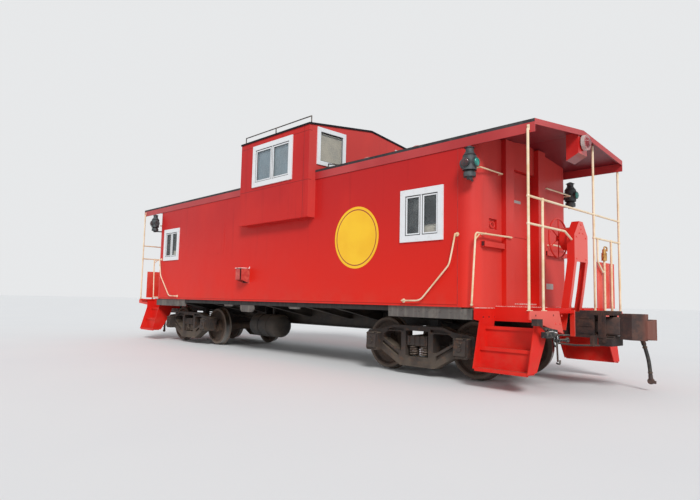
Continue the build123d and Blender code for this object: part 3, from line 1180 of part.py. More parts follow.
lamps, rails = [], []
for _, place in ends:
    for _, side in side_names:
        lamps.append(place(marker_lamp(side, core)))
        rails += [place(side_grab(side)), place(corner_rail(side, core)), place(end_grab(side, core))]
save("marker_lamps", lamps)
save("hand_rails", rails)
roof_rails = [cupola_rail(side) for _, side in side_names]
for x in (CUPOLA_A + 200, CUPOLA_B - 200):
    roof_rails += [roof_grab(x, side) for _, side in side_names]
save("roof_rails", roof_rails)
save("roof_vents", [roof_vent(x, y) for x, y in VENTS])

save("air_reservoir", [air_reservoir()])
save("battery_box", [battery_box()])
save("brake_cylinder", [brake_cylinder()])
save("sill_brackets", [sill_bracket(*size, side) for size in SILL_BRACKETS for _, side in side_names])

for name, centre in (("a", TRUCK_X), ("b", -TRUCK_X)):
    at = Pos(centre, 0, 0)
    save(f"side_frames_{name}", [at * side_frame(), at * mirrored(side_frame())])
    save(f"truck_bolster_{name}", [at * truck_bolster()])
    coils = [spring(x, hand * (FRAME_INNER + FRAME_OUTER) / 2) for x in (-105, 105) for hand in (1, -1)]
    save(f"springs_{name}", [at * coil for coil in coils])
    save(f"brake_beams_{name}", [at * brake_beam(1), at * brake_beam(-1)])
    for number, offset in (("1", HALF_BASE), ("2", -HALF_BASE)):
        save(f"wheelset_{name}{number}", wheelset(centre + offset))
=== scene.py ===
import math

import bpy
from mathutils import Matrix, Vector


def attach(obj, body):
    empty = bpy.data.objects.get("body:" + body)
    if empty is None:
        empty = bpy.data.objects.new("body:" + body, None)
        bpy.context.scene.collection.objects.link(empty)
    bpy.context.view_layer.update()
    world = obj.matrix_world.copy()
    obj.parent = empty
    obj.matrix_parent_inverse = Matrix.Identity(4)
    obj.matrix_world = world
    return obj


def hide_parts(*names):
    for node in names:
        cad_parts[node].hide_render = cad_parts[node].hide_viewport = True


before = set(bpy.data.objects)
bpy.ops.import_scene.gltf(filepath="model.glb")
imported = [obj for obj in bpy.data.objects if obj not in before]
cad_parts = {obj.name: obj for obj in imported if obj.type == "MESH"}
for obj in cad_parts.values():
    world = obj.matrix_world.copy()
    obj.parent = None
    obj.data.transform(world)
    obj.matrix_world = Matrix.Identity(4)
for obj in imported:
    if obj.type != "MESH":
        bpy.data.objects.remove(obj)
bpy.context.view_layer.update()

# The camera stands beside the car's near corner at a person's height and looks along its side.
# Its place and angles were solved from the photograph; the lens is given for a 36 mm sensor.
CAMERA_PLACE = (9.1092, -7.7979, 1.1249)
CAMERA_YAW = math.pi / 2 - 0.76272
CAMERA_PITCH = math.pi / 2 + 0.09080
CAMERA_ROLL = 0.02192
eye = bpy.data.cameras.new("camera")
eye.lens = 28.488
eye.sensor_width = 36.0
eye.clip_end = 400.0
camera = bpy.data.objects.new("camera", eye)
camera.matrix_world = (
    Matrix.Translation(CAMERA_PLACE)
    @ Matrix.Rotation(CAMERA_YAW, 4, "Z")
    @ Matrix.Rotation(CAMERA_PITCH, 4, "X")
    @ Matrix.Rotation(CAMERA_ROLL, 4, "Z")
)
bpy.context.collection.objects.link(camera)
bpy.context.scene.camera = camera
bpy.context.scene.view_settings.view_transform = "Standard"


# The brake hose of each end: reinforced rubber, clamped on the angle cock above and on its metal
# head below. It is stiff, and hangs in one slow curve away from the car.
def ink(red, green, blue):
    """A colour as it is seen on a screen, 0 to 255, as the light it stands for."""
    return tuple((part / 255) ** 2.2 for part in (red, green, blue)) + (1.0,)


class Tone:
    """One output in a finish's node tree. Sums, products and comparisons on it add Math nodes."""

    def __init__(self, tree, socket):
        self.tree = tree
        self.socket = socket

    def node(self, kind, settings, inputs, out=0):
        """Adds any node from its type, its settings, and its sockets' values or links."""
        made = self.tree.nodes.new("ShaderNode" + kind)
        for name, value in settings.items():
            setattr(made, name, value)
        for name, value in inputs.items():
            if isinstance(value, Tone):
                self.tree.links.new(value.socket, made.inputs[name])
            else:
                made.inputs[name].default_value = value
        return Tone(self.tree, made.outputs[out])

    def maths(self, operation, first, second=0.0):
        return self.node("Math", {"operation": operation}, {0: first, 1: second})

    def __add__(self, other):
        return self.maths("ADD", self, other)

    def __sub__(self, other):
        return self.maths("SUBTRACT", self, other)

    def __rsub__(self, other):
        return self.maths("SUBTRACT", other, self)

    def __mul__(self, other):
        return self.maths("MULTIPLY", self, other)

    __radd__ = __add__
    __rmul__ = __mul__

    def __abs__(self):
        return self.maths("ABSOLUTE", self)

    def either(self, other):
        return self.maths("MAXIMUM", self, other)

    def across(self, other):
        """The length of the vector that these two are the sides of."""
        return self.maths("SQRT", self * self + other * other)

    def between(self, low, high):
        """A mask, 0 below low and 1 above high."""
        smooth = {"interpolation_type": "SMOOTHSTEP"}
        return self.node("MapRange", smooth, {0: self, 1: low, 2: high})

    def near(self, middle, reach, soft):
        """A mask, 1 within reach of a value and fading to 0 over the soft width beyond it."""
        return 1 - abs(self - middle).between(reach, reach + soft)

    def blend(self, low, high):
        """A colour that goes from low to high as this mask goes from 0 to 1."""
        return self.node("Mix", {"data_type": "RGBA"}, {0: self, 6: low, 7: high}, out=2)

    def split(self):
        """The three coordinates of this vector."""
        return [self.node("SeparateXYZ", {}, {0: self}, out) for out in range(3)]

    def scaled(self, x, y, z):
        """This vector stretched along each axis, which draws a pattern out into streaks."""
        return self.node("Mapping", {}, {"Vector": self, "Scale": (x, y, z)})

    def noise(self, scale, detail=2.0, rough=0.5):
        """Cloudy noise at this place, around 0.5."""
        inputs = {"Vector": self, "Scale": scale, "Detail": detail, "Roughness": rough}
        return self.node("TexNoise", {}, inputs)


class Finish:
    """The finish of one kind of surface: its material, its shader, and where a point of it is."""

    def __init__(self, name, **sockets):
        self.material = bpy.data.materials.new(name)
        self.material.use_nodes = True
        self.tree = self.material.node_tree
        self.shader = self.tree.nodes["Principled BSDF"]
        for socket, value in sockets.items():
            self.shader.inputs[socket.replace("_", " ")].default_value = value
        spot = self.tree.nodes.new("ShaderNodeTexCoord")
        self.place = Tone(self.tree, spot.outputs["Object"])
        self.x, self.y, self.z = self.place.split()
        self.nx, self.ny, self.nz = Tone(self.tree, spot.outputs["Normal"]).split()

    def feed(self, socket, tone):
        self.tree.links.new(tone.socket, self.shader.inputs[socket])

    def relief(self, height, depth):
        """Raises the surface by a height from 0 to 1 times a depth in metres."""
        inputs = {"Height": height, "Distance": depth, "Strength": 1.0}
        self.feed("Normal", self.place.node("Bump", {}, inputs))

    def on(self, *nodes):
        """Gives this finish to CAD nodes."""
        for name in nodes:
            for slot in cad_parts[name].material_slots:
                slot.material = self.material


def tube(name, points, radius, facets, steps):
    """A round bar or hose, as a curve that eases round the corners of a line of points."""
    line = bpy.data.curves.new(name, "CURVE")
    line.dimensions = "3D"
    line.bevel_depth = radius
    line.bevel_resolution = facets
    line.resolution_u = steps
    line.use_fill_caps = True
    run = line.splines.new("NURBS")
    run.points.add(len(points) - 1)
    for point, place in zip(run.points, points):
        point.co = (*place, 1.0)
    run.order_u = 3
    run.use_endpoint_u = True
    piece = bpy.data.objects.new(name, line)
    bpy.context.collection.objects.link(piece)
    return piece


rubber = Finish("hose_rubber", Roughness=0.7)
dust = rubber.place.noise(22, 4, 0.6).between(0.4, 0.75)
rubber.feed("Base Color", dust.blend(ink(38, 37, 37), ink(92, 84, 76)))
rubber.feed("Roughness", 0.55 + dust * 0.35)
rubber.relief(rubber.place.noise(260, 2), 0.0008)

# Each end, and the sign of its X.
ENDS = (("a", 1), ("b", -1))
HOSE_ROUTE = [
    (6.390, 0.370, 0.610), (6.422, 0.370, 0.500), (6.450, 0.370, 0.365), (6.460, 0.370, 0.215),
]
HOSE_DIAMETER = 0.050
for end, side in ENDS:
    route = [(side * x, side * y, z) for x, y, z in HOSE_ROUTE]
    hose = tube("rubber_hose_" + end, route, HOSE_DIAMETER / 2, 5, 14)
    hose.data.materials.append(rubber.material)
    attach(hose, "car")
    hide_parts("air_hose_" + end)


# The hose clamps: two steel bands with a bolt on each hose, one round the nipple at its top and
# one round the shank of its head, pinched shut over the rubber.
def alone(*pieces):
    """Selects these pieces and nothing else, the first of them active."""
    bpy.ops.object.select_all(action="DESELECT")
    for piece in pieces:
        piece.select_set(True)
    bpy.context.view_layer.objects.active = pieces[0]


def fresh(name, add, **settings):
    """Adds a primitive, and takes its place, turn and size into its mesh."""
    bpy.ops.object.select_all(action="DESELECT")
    add(**settings)
    piece = bpy.context.object
    piece.name = name
    alone(piece)
    bpy.ops.object.transform_apply(location=True, rotation=True, scale=True)
    return piece


def worked(piece, kind, **settings):
    """Adds a modifier to a piece and applies it."""
    alone(piece)
    made = piece.modifiers.new("work", kind)
    for name, value in settings.items():
        setattr(made, name, value)
    bpy.ops.object.modifier_apply(modifier=made.name)
    return piece


def picked(piece, wanted):
    """Opens a piece in edit mode with only the faces that pass a test selected."""
    alone(piece)
    bpy.ops.object.mode_set(mode="EDIT")
    bpy.ops.mesh.select_mode(type="FACE")
    bpy.ops.mesh.select_all(action="DESELECT")
    bpy.ops.object.mode_set(mode="OBJECT")
    for face in piece.data.polygons:
        face.select = wanted(face)
    bpy.ops.object.mode_set(mode="EDIT")


def done():
    """Ends the work in edit mode."""
    bpy.ops.object.mode_set(mode="OBJECT")


def joined(name, pieces):
    """Makes several pieces one."""
    alone(*pieces)
    if len(pieces) > 1:
        bpy.ops.object.join()
    pieces[0].name = name
    return pieces[0]


def repeated(name, piece, moves):
    """Copies a modelled piece to each place, each copy with its own mesh, and joins the copies."""
    copies = []
    for move in moves:
        copy = piece.copy()
        copy.data = piece.data.copy()
        copy.data.transform(move)
        bpy.context.collection.objects.link(copy)
        copies.append(copy)
    bpy.data.objects.remove(piece)
    return joined(name, copies)


def towards(point, direction):
    """The move that stands a piece, made on the plane Z = 0, on a point, its top facing a way."""
    turn = Vector(direction).to_track_quat("Z", "Y").to_matrix().to_4x4()
    return Matrix.Translation(point) @ turn


def fitted(piece, body, finish):
    """Paints a piece and fixes it to the body that carries it."""
    piece.data.materials.clear()
    piece.data.materials.append(finish.material)
    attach(piece, body)
    return piece


def block(name, low, high, edge=0.0):
    """A rectangular bar or plate between two corners, its edges eased."""
    middle = [(a + b) / 2 for a, b in zip(low, high)]
    spans = [b - a for a, b in zip(low, high)]
    piece = fresh(name, bpy.ops.mesh.primitive_cube_add, size=1, location=middle, scale=spans)
    if edge:
        worked(piece, "BEVEL", width=edge, segments=2)
    return piece


clamp_steel = Finish("clamp_steel", Metallic=0.7)
worn = clamp_steel.place.noise(60, 3, 0.6).between(0.4, 0.6)
clamp_steel.feed("Base Color", worn.blend(ink(96, 88, 82), ink(104, 74, 54)))
clamp_steel.feed("Roughness", 0.45 + worn * 0.35)
clamp_steel.relief(worn, 0.0005)
# Turns that lay a primitive's own Z axis along X and along Y.
ALONG_X = (0, math.pi / 2, 0)
ALONG_Y = (math.pi / 2, 0, 0)
CLAMP_SPOTS = [((6.398, 0.370, 0.578), (0.28, 0, -0.96)), ((6.4585, 0.370, 0.245), (0.07, 0, -1))]
for end, side in ENDS:
    band = fresh("band", bpy.ops.mesh.primitive_torus_add, major_radius=0.0262,
                 minor_radius=0.006, major_segments=32, minor_segments=8)
    band.data.transform(Matrix.Diagonal((1, 1, 1.6, 1)))
    ear = block("ear", (0.026, -0.014, -0.009), (0.046, 0.014, 0.009), 0.002)
    bolt = fresh("bolt", bpy.ops.mesh.primitive_cylinder_add, vertices=6, radius=0.007,
                 depth=0.040, rotation=ALONG_Y, location=(0.037, 0, 0))
    worked(bolt, "BEVEL", width=0.001, segments=1)
    band = joined("hose_clamps_" + end, [band, ear, bolt])
    flip = Vector((side, side, 1))
    moves = [towards(Vector(place) * flip, Vector(run) * flip) for place, run in CLAMP_SPOTS]
    band = repeated("hose_clamps_" + end, band, moves)
    clamps = fitted(band, "car", clamp_steel)
    tuple(side * v for v in HOSE_ROUTE[0][:2]) + HOSE_ROUTE[0][2:]

# The floor: one wide pale sheet, lit by a soft lamp high on the camera's side and by an even sky.
# Both show the same plain pale tone behind the car.
floor = fresh("studio_floor", bpy.ops.mesh.primitive_grid_add, x_subdivisions=2,
              y_subdivisions=2, size=600, location=(0, 0, 0))
pale = Finish("studio_floor", Roughness=0.9)
pale.feed("Base Color", pale.place.noise(0.4, 2).blend(ink(226, 227, 228), ink(232, 232, 231)))
floor.data.materials.append(pale.material)

lamp = bpy.data.lights.new("sun", "SUN")
lamp.energy = 2.3
lamp.angle = math.radians(16)
sun = bpy.data.objects.new("sun", lamp)
sun.matrix_world = towards((8, -8, 9), (0.73, -0.56, 0.63))
bpy.context.collection.objects.link(sun)

sky = bpy.data.worlds.new("sky")
bpy.context.scene.world = sky
sky.use_nodes = True
tree = sky.node_tree
fill = tree.nodes["Background"]
fill.inputs["Color"].default_value = (0.93, 0.96, 1.0, 1.0)
fill.inputs["Strength"].default_value = 0.55
seen = tree.nodes.new("ShaderNodeBackground")
seen.inputs["Color"].default_value = (0.80, 0.81, 0.82, 1.0)
ray = tree.nodes.new("ShaderNodeLightPath")
kinds = ("Camera", "Glossy", "Transmission")
straight, mirrored, through = (Tone(tree, ray.outputs[f"Is {kind} Ray"]) for kind in kinds)
choose = tree.nodes.new("ShaderNodeMixShader")
tree.links.new(straight.either(mirrored.either(through)).socket, choose.inputs[0])
tree.links.new(fill.outputs[0], choose.inputs[1])
tree.links.new(seen.outputs[0], choose.inputs[2])
tree.links.new(choose.outputs[0], tree.nodes["World Output"].inputs[0])

# The wheelsets: forged wheels pressed on steel axles. The treads are rolled bright, the plates
# and hubs are brown with rust and road dust.
TRUCK_X = 3.625
HALF_BASE = 0.8635
AXLE_Z = 0.4445
forged = Finish("wheel_steel")
from_axle = abs(abs(abs(forged.x) - TRUCK_X) - HALF_BASE)
radius = from_axle.across(forged.z - AXLE_Z)
patch = forged.place.noise(7, 4, 0.65)
rust = patch.between(0.35, 0.7).blend(ink(78, 68, 62), ink(100, 80, 66))
grime = forged.place.noise(40, 3).between(0.45, 0.8)
plate = (grime * 0.6).blend(rust, ink(44, 40, 38))
faces_out = 1 - abs(forged.ny).between(0.45, 0.6)
rolled = radius.between(0.408, 0.414) * faces_out * abs(forged.y).between(0.66, 0.67)
rim = radius.between(0.372, 0.380) * (1 - rolled)
dusty = (rim * 0.7).blend(plate, ink(112, 100, 90))
forged.feed("Base Color", rolled.blend(dusty, ink(150, 146, 142)))
forged.feed("Metallic", rolled * 0.9 + 0.1)
forged.feed("Roughness", 0.85 - rolled * 0.55)
forged.relief(patch + grime * 0.5, 0.0015)
forged.on("wheelset_a1", "wheelset_a2", "wheelset_b1", "wheelset_b2")

# The trucks: cast steel side frames, bolster and brake beams, painted dark long ago and now grey
# brown with dust that lies thickest on ledges and low down, with rust in the hollows.
cast = Finish("cast_steel", Metallic=0.15)
skin = cast.place.noise(11, 5, 0.65)
pores = cast.place.noise(130, 3, 0.6)
rusty = skin.between(0.5, 0.72).blend(ink(58, 51, 48), ink(88, 64, 50))
ledge = cast.nz.between(0.25, 0.8) * 0.7
low_dust = (1 - cast.z.between(0.15, 0.55)) * 0.35
dust = ledge.either(low_dust) * cast.place.noise(5, 4, 0.6).between(0.25, 0.6)
cast.feed("Base Color", dust.blend(rusty, ink(128, 114, 98)))
cast.feed("Roughness", 0.72 + dust * 0.2)
cast.relief(skin * 0.6 + pores * 0.4, 0.003)
for end in "ab":
    cast.on("side_frames_" + end, "truck_bolster_" + end)
    cast.on("brake_beams_" + end, "springs_" + end)

# The spring nests: each coil is a bar of spring steel wound hot, with a smaller coil inside it.
# They stand between the frame's lower chord and the bolster's end.
SPRING_LOW, SPRING_HIGH = 0.285, 0.455
NEST_X, NEST_Y = 0.105, 1.015


def coil(name, reach, bar, turns):
    """A coil spring on the Z axis that fills the height between the frame and the bolster."""
    piece = fresh(name, bpy.ops.mesh.primitive_circle_add, vertices=10, radius=bar,
                  location=(reach - bar, 0, SPRING_LOW + bar), rotation=ALONG_Y)
    rise = (SPRING_HIGH - SPRING_LOW - 2 * bar) / turns
    worked(piece, "SCREW", angle=2 * math.pi, screw_offset=rise, iterations=turns,
           steps=20, render_steps=20, use_smooth_shade=True)
    alone(piece)
    bpy.ops.object.mode_set(mode="EDIT")
    bpy.ops.mesh.select_all(action="SELECT")
    bpy.ops.mesh.fill_holes(sides=0)
    bpy.ops.mesh.remove_doubles(threshold=0.0001)
    bpy.ops.mesh.normals_make_consistent(inside=False)
    done()
    return piece


spring_steel = Finish("spring_steel", Metallic=0.3)
rub = spring_steel.place.noise(30, 4, 0.6).between(0.4, 0.65)
spring_steel.feed("Base Color", rub.blend(ink(96, 84, 74), ink(62, 50, 44)))
spring_steel.feed("Roughness", 0.5 + rub * 0.3)
spring_steel.relief(spring_steel.place.noise(180, 2), 0.001)
for end, side in ENDS:
    nest = joined("nest", [coil("outer", 0.080, 0.0145, 4), coil("inner", 0.044, 0.009, 6)])
    spots = [
        Matrix.Translation((side * TRUCK_X + x, y, 0))
        for x in (-NEST_X, NEST_X) for y in (-NEST_Y, NEST_Y)
    ]
    nests = repeated("spring_nests_" + end, nest, spots)
    fitted(nests, "truck_" + end, spring_steel)
    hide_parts("springs_" + end)

# The journal boxes' lids: cast lids that lean on the boxes' faces, each with a raised ring to lift
# it by, and the square-headed bolts that hold the box's corners.
def bolt_head(name, reach, height, sides):
    """A bolt's head with flat sides and an eased top, on the plane Z = 0."""
    piece = fresh(name, bpy.ops.mesh.primitive_cylinder_add, vertices=sides, radius=reach,
                  depth=height, location=(0, 0, height / 2))
    return worked(piece, "BEVEL", width=reach * 0.12, segments=1)


BOX_FACE = 1.190
BOX_BOLTS = [(dx, dz) for dx in (-0.111, 0.111) for dz in (-0.078, 0.158)]
for end, side in ENDS:
    heads, lids = [], []
    for x in (side * TRUCK_X - HALF_BASE, side * TRUCK_X + HALF_BASE):
        for y in (1, -1):
            for dx, dz in BOX_BOLTS:
                heads.append(towards((x + dx, y * BOX_FACE, AXLE_Z + dz), (0, y, 0)))
            lids.append(towards((x, y * (BOX_FACE + 0.023), AXLE_Z + 0.085), (0, y, 0.118)))
    ring = fresh("ring", bpy.ops.mesh.primitive_torus_add, major_radius=0.026,
                 minor_radius=0.007, major_segments=24, minor_segments=8)
    rings = repeated("rings", ring, lids)
    bolts = repeated("bolts", bolt_head("bolt", 0.013, 0.012, 4), heads)
    fittings = joined("box_lid_fittings_" + end, [rings, bolts])
    fitted(fittings, "truck_" + end, cast)

# The underframe: rolled and pressed plates riveted up, painted black, with brown dust on all that
# faces up and dry mud thrown up behind the wheels.
BEAM_BLACK = ink(40, 37, 36)
under = Finish("underframe_black", Metallic=0.1)
cloud = under.place.noise(2.5, 4, 0.6)
film = cloud.between(0.35, 0.75) * 0.5
settled_dust = under.nz.between(0.3, 0.9) * 0.8
mud = under.place.noise(38, 3, 0.7).between(0.58, 0.66) * 0.4
brown = film.either(settled_dust).either(mud)
under.feed("Base Color", brown.blend(BEAM_BLACK, ink(98, 88, 78)))
under.feed("Roughness", 0.6 + film * 0.4)
under.relief(under.place.noise(24, 4, 0.6), 0.002)
under.on("underframe", "bearers", "air_reservoir", "battery_box", "brake_cylinder")

# The side sills: pressed channels with a deep length over each truck. The deep lengths and the
# brackets under the sides are grey and chalky where rain runs off; the length between is coloured
# black.
DEEP_SILL_X = 3.300
SILL_FACE, SILL_RIVET_Z = 1.397, 0.996
SILL_RIVETS = (3.34, 3.564, 3.84, 3.912, 4.06, 4.288, 4.47, 4.661)


def chalky_grey(name, black_between):
    """Dusty grey paint, but black, if that is wanted, over the length between the deep sills."""
    grey = Finish(name, Metallic=0.1)
    run_off = grey.place.scaled(14, 14, 1.2).noise(1, 3, 0.6)
    chalk = run_off.between(0.42, 0.68)
    stain = grey.place.noise(6, 4, 0.6).between(0.52, 0.7) * 0.6
    tone = chalk.blend(ink(92, 87, 84), ink(116, 111, 105))
    tone = stain.blend(tone, ink(70, 60, 54))
    if black_between:
        deep = abs(grey.x).between(DEEP_SILL_X - 0.003, DEEP_SILL_X - 0.001)
        tone = deep.blend(BEAM_BLACK, tone)
    grey.feed("Base Color", tone)
    grey.feed("Roughness", 0.62 + chalk * 0.2)
    grey.relief(run_off, 0.0015)
    return grey


chalky_grey("sill_grey", True).on("side_sills")
grey = chalky_grey("bracket_grey", False)
grey.on("sill_brackets")


def rivet(name, radius, height):
    """A round rivet head that stands on the plane Z = 0."""
    piece = fresh(name, bpy.ops.mesh.primitive_cylinder_add, vertices=8, radius=radius,
                  depth=height * 0.55, location=(0, 0, height * 0.27))
    picked(piece, lambda face: face.normal.z > 0.9)
    bpy.ops.mesh.extrude_region_move(TRANSFORM_OT_translate={"value": (0, 0, height * 0.45)})
    bpy.ops.transform.resize(value=(0.55, 0.55, 1))
    done()
    return piece


moves = [
    towards((end * x, side * SILL_FACE, SILL_RIVET_Z), (0, side, 0))
    for side in (1, -1) for x in SILL_RIVETS for end in (1, -1)
]
rivets = repeated("sill_rivets", rivet("rivet", 0.013, 0.009), moves)
fitted(rivets, "car", grey)

# The floor: tongued boards laid across the car on its bearers, brown and worn, with dirt in the
# joints between them.
boards = Finish("floor_boards", Roughness=0.7)
plank = abs(boards.x.maths("FRACT", boards.x * 8) - 0.5)
joint = plank.between(0.47, 0.49)
figure = boards.place.scaled(6, 40, 40).noise(2, 4, 0.6)
wood = figure.between(0.3, 0.7).blend(ink(120, 92, 66), ink(88, 66, 48))
boards.feed("Base Color", joint.blend(wood, ink(34, 26, 20)))
boards.relief(figure - joint, 0.001)
boards.on("floor")


# The body's sides: steel sheets in gloss red enamel, faded in clouds by the sun. The red is painted
# more orange low down and darker towards the eaves, as painted sunlight and painted shade, and all
# that faces along the car is painted paler and pinker as painted light, most on the ends' sills and
# stands. Rain draws faint streaks from the eaves; dust and rust sit at the bottom.
def red_enamel(name, seams=()):
    """The red paint, with dark seams: each an axis, a place on it, and if it is on both sides."""
    paint = Finish(name, Coat_Weight=0.05, Coat_Roughness=0.12, Specular_IOR_Level=0.12)
    cloud = paint.place.noise(0.75, 3, 0.55)
    # Painted light: the red is more orange low down and darker up towards the eaves, painted
    # sunlight below and painted shade under the roof.
    tone = (1 - paint.z.between(1.1, 3.4)).blend(ink(186, 42, 42), ink(218, 44, 33))
    tone = (cloud.between(0.42, 0.72) * 0.5).blend(tone, ink(206, 50, 44))
    streaks = paint.place.scaled(11, 11, 0.5).noise(1, 3, 0.55).between(0.55, 0.75)
    tone = (streaks * paint.z.between(1.3, 3.1) * 0.18).blend(tone, ink(138, 30, 32))
    low_down = 1 - paint.z.between(0.25, 1.5)
    dust = low_down * paint.place.noise(6, 4, 0.6).between(0.3, 0.7) * 0.35
    tone = dust.either(paint.nz.between(0.6, 0.95) * 0.3).blend(tone, ink(176, 118, 96))
    # Painted light: all that faces along the car is painted paler and pinker, most on the end sills
    # and collision stands.
    sunlit_ends = abs(paint.nx) * (abs(paint.x).between(5.60, 5.66) * 0.30 + 0.14)
    tone = sunlit_ends.blend(tone, ink(240, 140, 130))
    rust = paint.place.noise(34, 4, 0.7).between(0.69, 0.72)
    rust = rust * (1 - paint.z.between(0.3, 1.4)) * 0.8
    tone = rust.blend(tone, ink(104, 50, 32))
    line = None
    for axis, place, folded in seams:
        where = {"x": paint.x, "y": paint.y, "z": paint.z}[axis]
        one = (abs(where) if folded else where).near(place, 0.003, 0.007)
        line = one if line is None else line.either(one)
    height = paint.place.noise(1.6, 2) + paint.place.noise(330, 2) * 0.02
    if line is not None:
        tone = (line * 0.5).blend(tone, ink(96, 22, 24))
        height = height - line * 0.15
    paint.feed("Base Color", tone)
    paint.feed("Roughness", 0.34 + dust * 0.8 + cloud * 0.1)
    paint.relief(height, 0.012)
    return paint


CORNER_SEAM_X = 4.603
side_paint = red_enamel("side_enamel", [("x", CORNER_SEAM_X, True), ("z", 1.094, False)])
side_paint.on("body_side_right", "body_side_left")

# The round plate on each side: a thin sheet disc screwed flat on the body, yellow, with one plain
# thin ring near its edge.
DISC_X, DISC_Z, DISC_RADIUS = 2.580, 2.165, 0.515
SIDE_Y = 1.427
discs = []
for side in (1, -1):
    disc = fresh("disc", bpy.ops.mesh.primitive_cylinder_add, vertices=96, radius=DISC_RADIUS,
                 depth=0.004, rotation=ALONG_Y,
                 location=(side * DISC_X, -side * (SIDE_Y + 0.002), DISC_Z))
    discs.append(worked(disc, "BEVEL", width=0.001, segments=2, limit_method="ANGLE"))
disc_paint = Finish("disc_yellow", Coat_Weight=0.2, Coat_Roughness=0.15)
reach = (abs(disc_paint.x) - DISC_X).across(disc_paint.z - DISC_Z)
sunned = disc_paint.place.noise(2.2, 3).between(0.35, 0.7)
yellow = sunned.blend(ink(250, 196, 20), ink(244, 184, 12))
thin_ring = reach.near(0.462, 0.007, 0.003)
disc_paint.feed("Base Color", thin_ring.blend(yellow, ink(150, 34, 30)))
disc_paint.feed("Roughness", 0.38 + sunned * 0.12)
disc_paint.relief(disc_paint.place.noise(1.6, 2), 0.006)
fitted(joined("round_plates", discs), "car", disc_paint)

# The vent hood of the near side: folded from sheet, open below and down one corner, where the air
# leaves, with a flat lid whose top edge has pale patches of painted highlight. It stands out low
# under the cupola, its red bleached; the bare plate beside it is in the body's red.
def screwed_plate(name, low, high, facing, spots, radius, height):
    """A thin plate with a round screw head on its face at each of some spots."""
    plate = block("plate", low, high, 0.001)
    moves = [towards(spot, facing) for spot in spots]
    return joined(name, [plate, repeated("screws", rivet("rivet", radius, height), moves)])


HOOD_FACE = -1.610
HOOD_TOP = 1.730
CHEEK_DROP = 0.060
hood = [
    block("lid", (-0.775, HOOD_FACE - 0.012, HOOD_TOP), (-0.536, -SIDE_Y, 1.744), 0.002),
    block("front", (-0.760, HOOD_FACE, 1.500), (-0.604, HOOD_FACE + 0.004, 1.718)),
    block("cheek", (-0.760, HOOD_FACE + 0.004, 1.500), (-0.756, -SIDE_Y, 1.732)),
    block("cheek", (-0.554, HOOD_FACE, 1.500), (-0.550, -SIDE_Y, 1.732)),
    block("flange", (-0.550, -SIDE_Y - 0.003, 1.430), (-0.520, -SIDE_Y, 1.770), 0.001),
]
for cheek in hood[2:4]:
    for corner in cheek.data.vertices:
        if corner.co.z < 1.6 and corner.co.y > -1.5:
            corner.co.z -= CHEEK_DROP
bleached = Finish("bleached_red", Roughness=0.5)
fade = bleached.place.noise(14, 4, 0.6).between(0.35, 0.65)
tone = fade.blend(ink(204, 92, 80), ink(182, 62, 58))
# Painted highlight: pale patches along the lid's top edge, where the light catches it.
lid = bleached.z.between(HOOD_TOP - 0.002, HOOD_TOP)
lid = lid * bleached.place.noise(26, 3).between(0.35, 0.55)
bleached.feed("Base Color", lid.blend(tone, ink(244, 224, 218)))
bleached.relief(fade, 0.0006)
fitted(joined("side_vent", hood), "car", bleached)
plain_paint = red_enamel("plain_enamel")
corners = [(x, -SIDE_Y - 0.003, z) for x in (-2.27, -1.60) for z in (2.13, 2.77)]
plate = screwed_plate("bare_plate", (-2.300, -SIDE_Y - 0.003, 2.100), (-1.570, -SIDE_Y, 2.800),
                      (0, -1, 0), corners, 0.008, 0.004)
fitted(plate, "car", plain_paint)

# The weld beads where the corner sheets meet the sides: one run of weld from sill to eave, ground
# nearly flush and painted over.
beads = [
    block("bead", (x - 0.005, y - 0.002, 1.066), (x + 0.005, y + 0.002, 3.296), 0.0019)
    for x in (CORNER_SEAM_X, -CORNER_SEAM_X) for y in (SIDE_Y, -SIDE_Y)
]
seam_paint = Finish("seam_paint", Roughness=0.4)
patch = seam_paint.place.noise(9, 3).between(0.4, 0.65)
seam_paint.feed("Base Color", patch.blend(ink(184, 40, 36), ink(160, 34, 32)))
seam_paint.relief(seam_paint.place.scaled(40, 40, 60).noise(2, 2), 0.001)
fitted(joined("weld_beads", beads), "car", seam_paint)

# The window frames: folded steel sheet, set in the openings of the walls. The white enamel is a
# little chalky, with soot on it and the faint tracks of drips.
white = Finish("frame_white", Coat_Weight=0.15, Coat_Roughness=0.2)
soot = white.place.noise(9, 4, 0.6).between(0.5, 0.8)
drip = white.place.scaled(30, 30, 1.5).noise(1, 3).between(0.6, 0.8)
dirt = soot.either(drip) * 0.3
white.feed("Base Color", dirt.blend(ink(226, 228, 230), ink(168, 162, 152)))
white.feed("Roughness", 0.38 + dirt * 0.5)
white.relief(white.place.noise(12, 3), 0.001)
white.on("window_frames")

# The sashes: an aluminium frame round each pane, painted white and held in the window frame by a
# black gasket. The panes in the cupola's ends have the gasket alone.
gasket = Finish("gasket_black", Roughness=0.6)
gasket.feed("Base Color", gasket.place.noise(30, 2).blend(ink(26, 27, 28), ink(48, 50, 50)))


def rim_frame(name, low, high, width, axis):
    """A flat ring of four bars with mitred corners, across an axis, from corner to corner."""
    spans = [b - a for a, b in zip(low, high)]
    middle = Vector([(a + b) / 2 for a, b in zip(low, high)])
    across, thick = (spans[0], spans[1]) if axis == "Y" else (spans[1], spans[0])
    turn = Matrix.Rotation(math.pi / 2, 4, "X")
    if axis == "X":
        turn = Matrix.Rotation(math.pi / 2, 4, "Z") @ turn
    piece = fresh(name, bpy.ops.mesh.primitive_plane_add, size=1)
    piece.data.transform(Matrix.Diagonal((across, spans[2], 1, 1)))
    picked(piece, lambda face: True)
    bpy.ops.mesh.inset(thickness=width, depth=0)
    bpy.ops.mesh.delete(type="FACE")
    done()
    piece.data.transform(Matrix.Translation(middle) @ turn)
    worked(piece, "SOLIDIFY", thickness=thick, offset=0)
    return worked(piece, "BEVEL", width=0.002, segments=1)


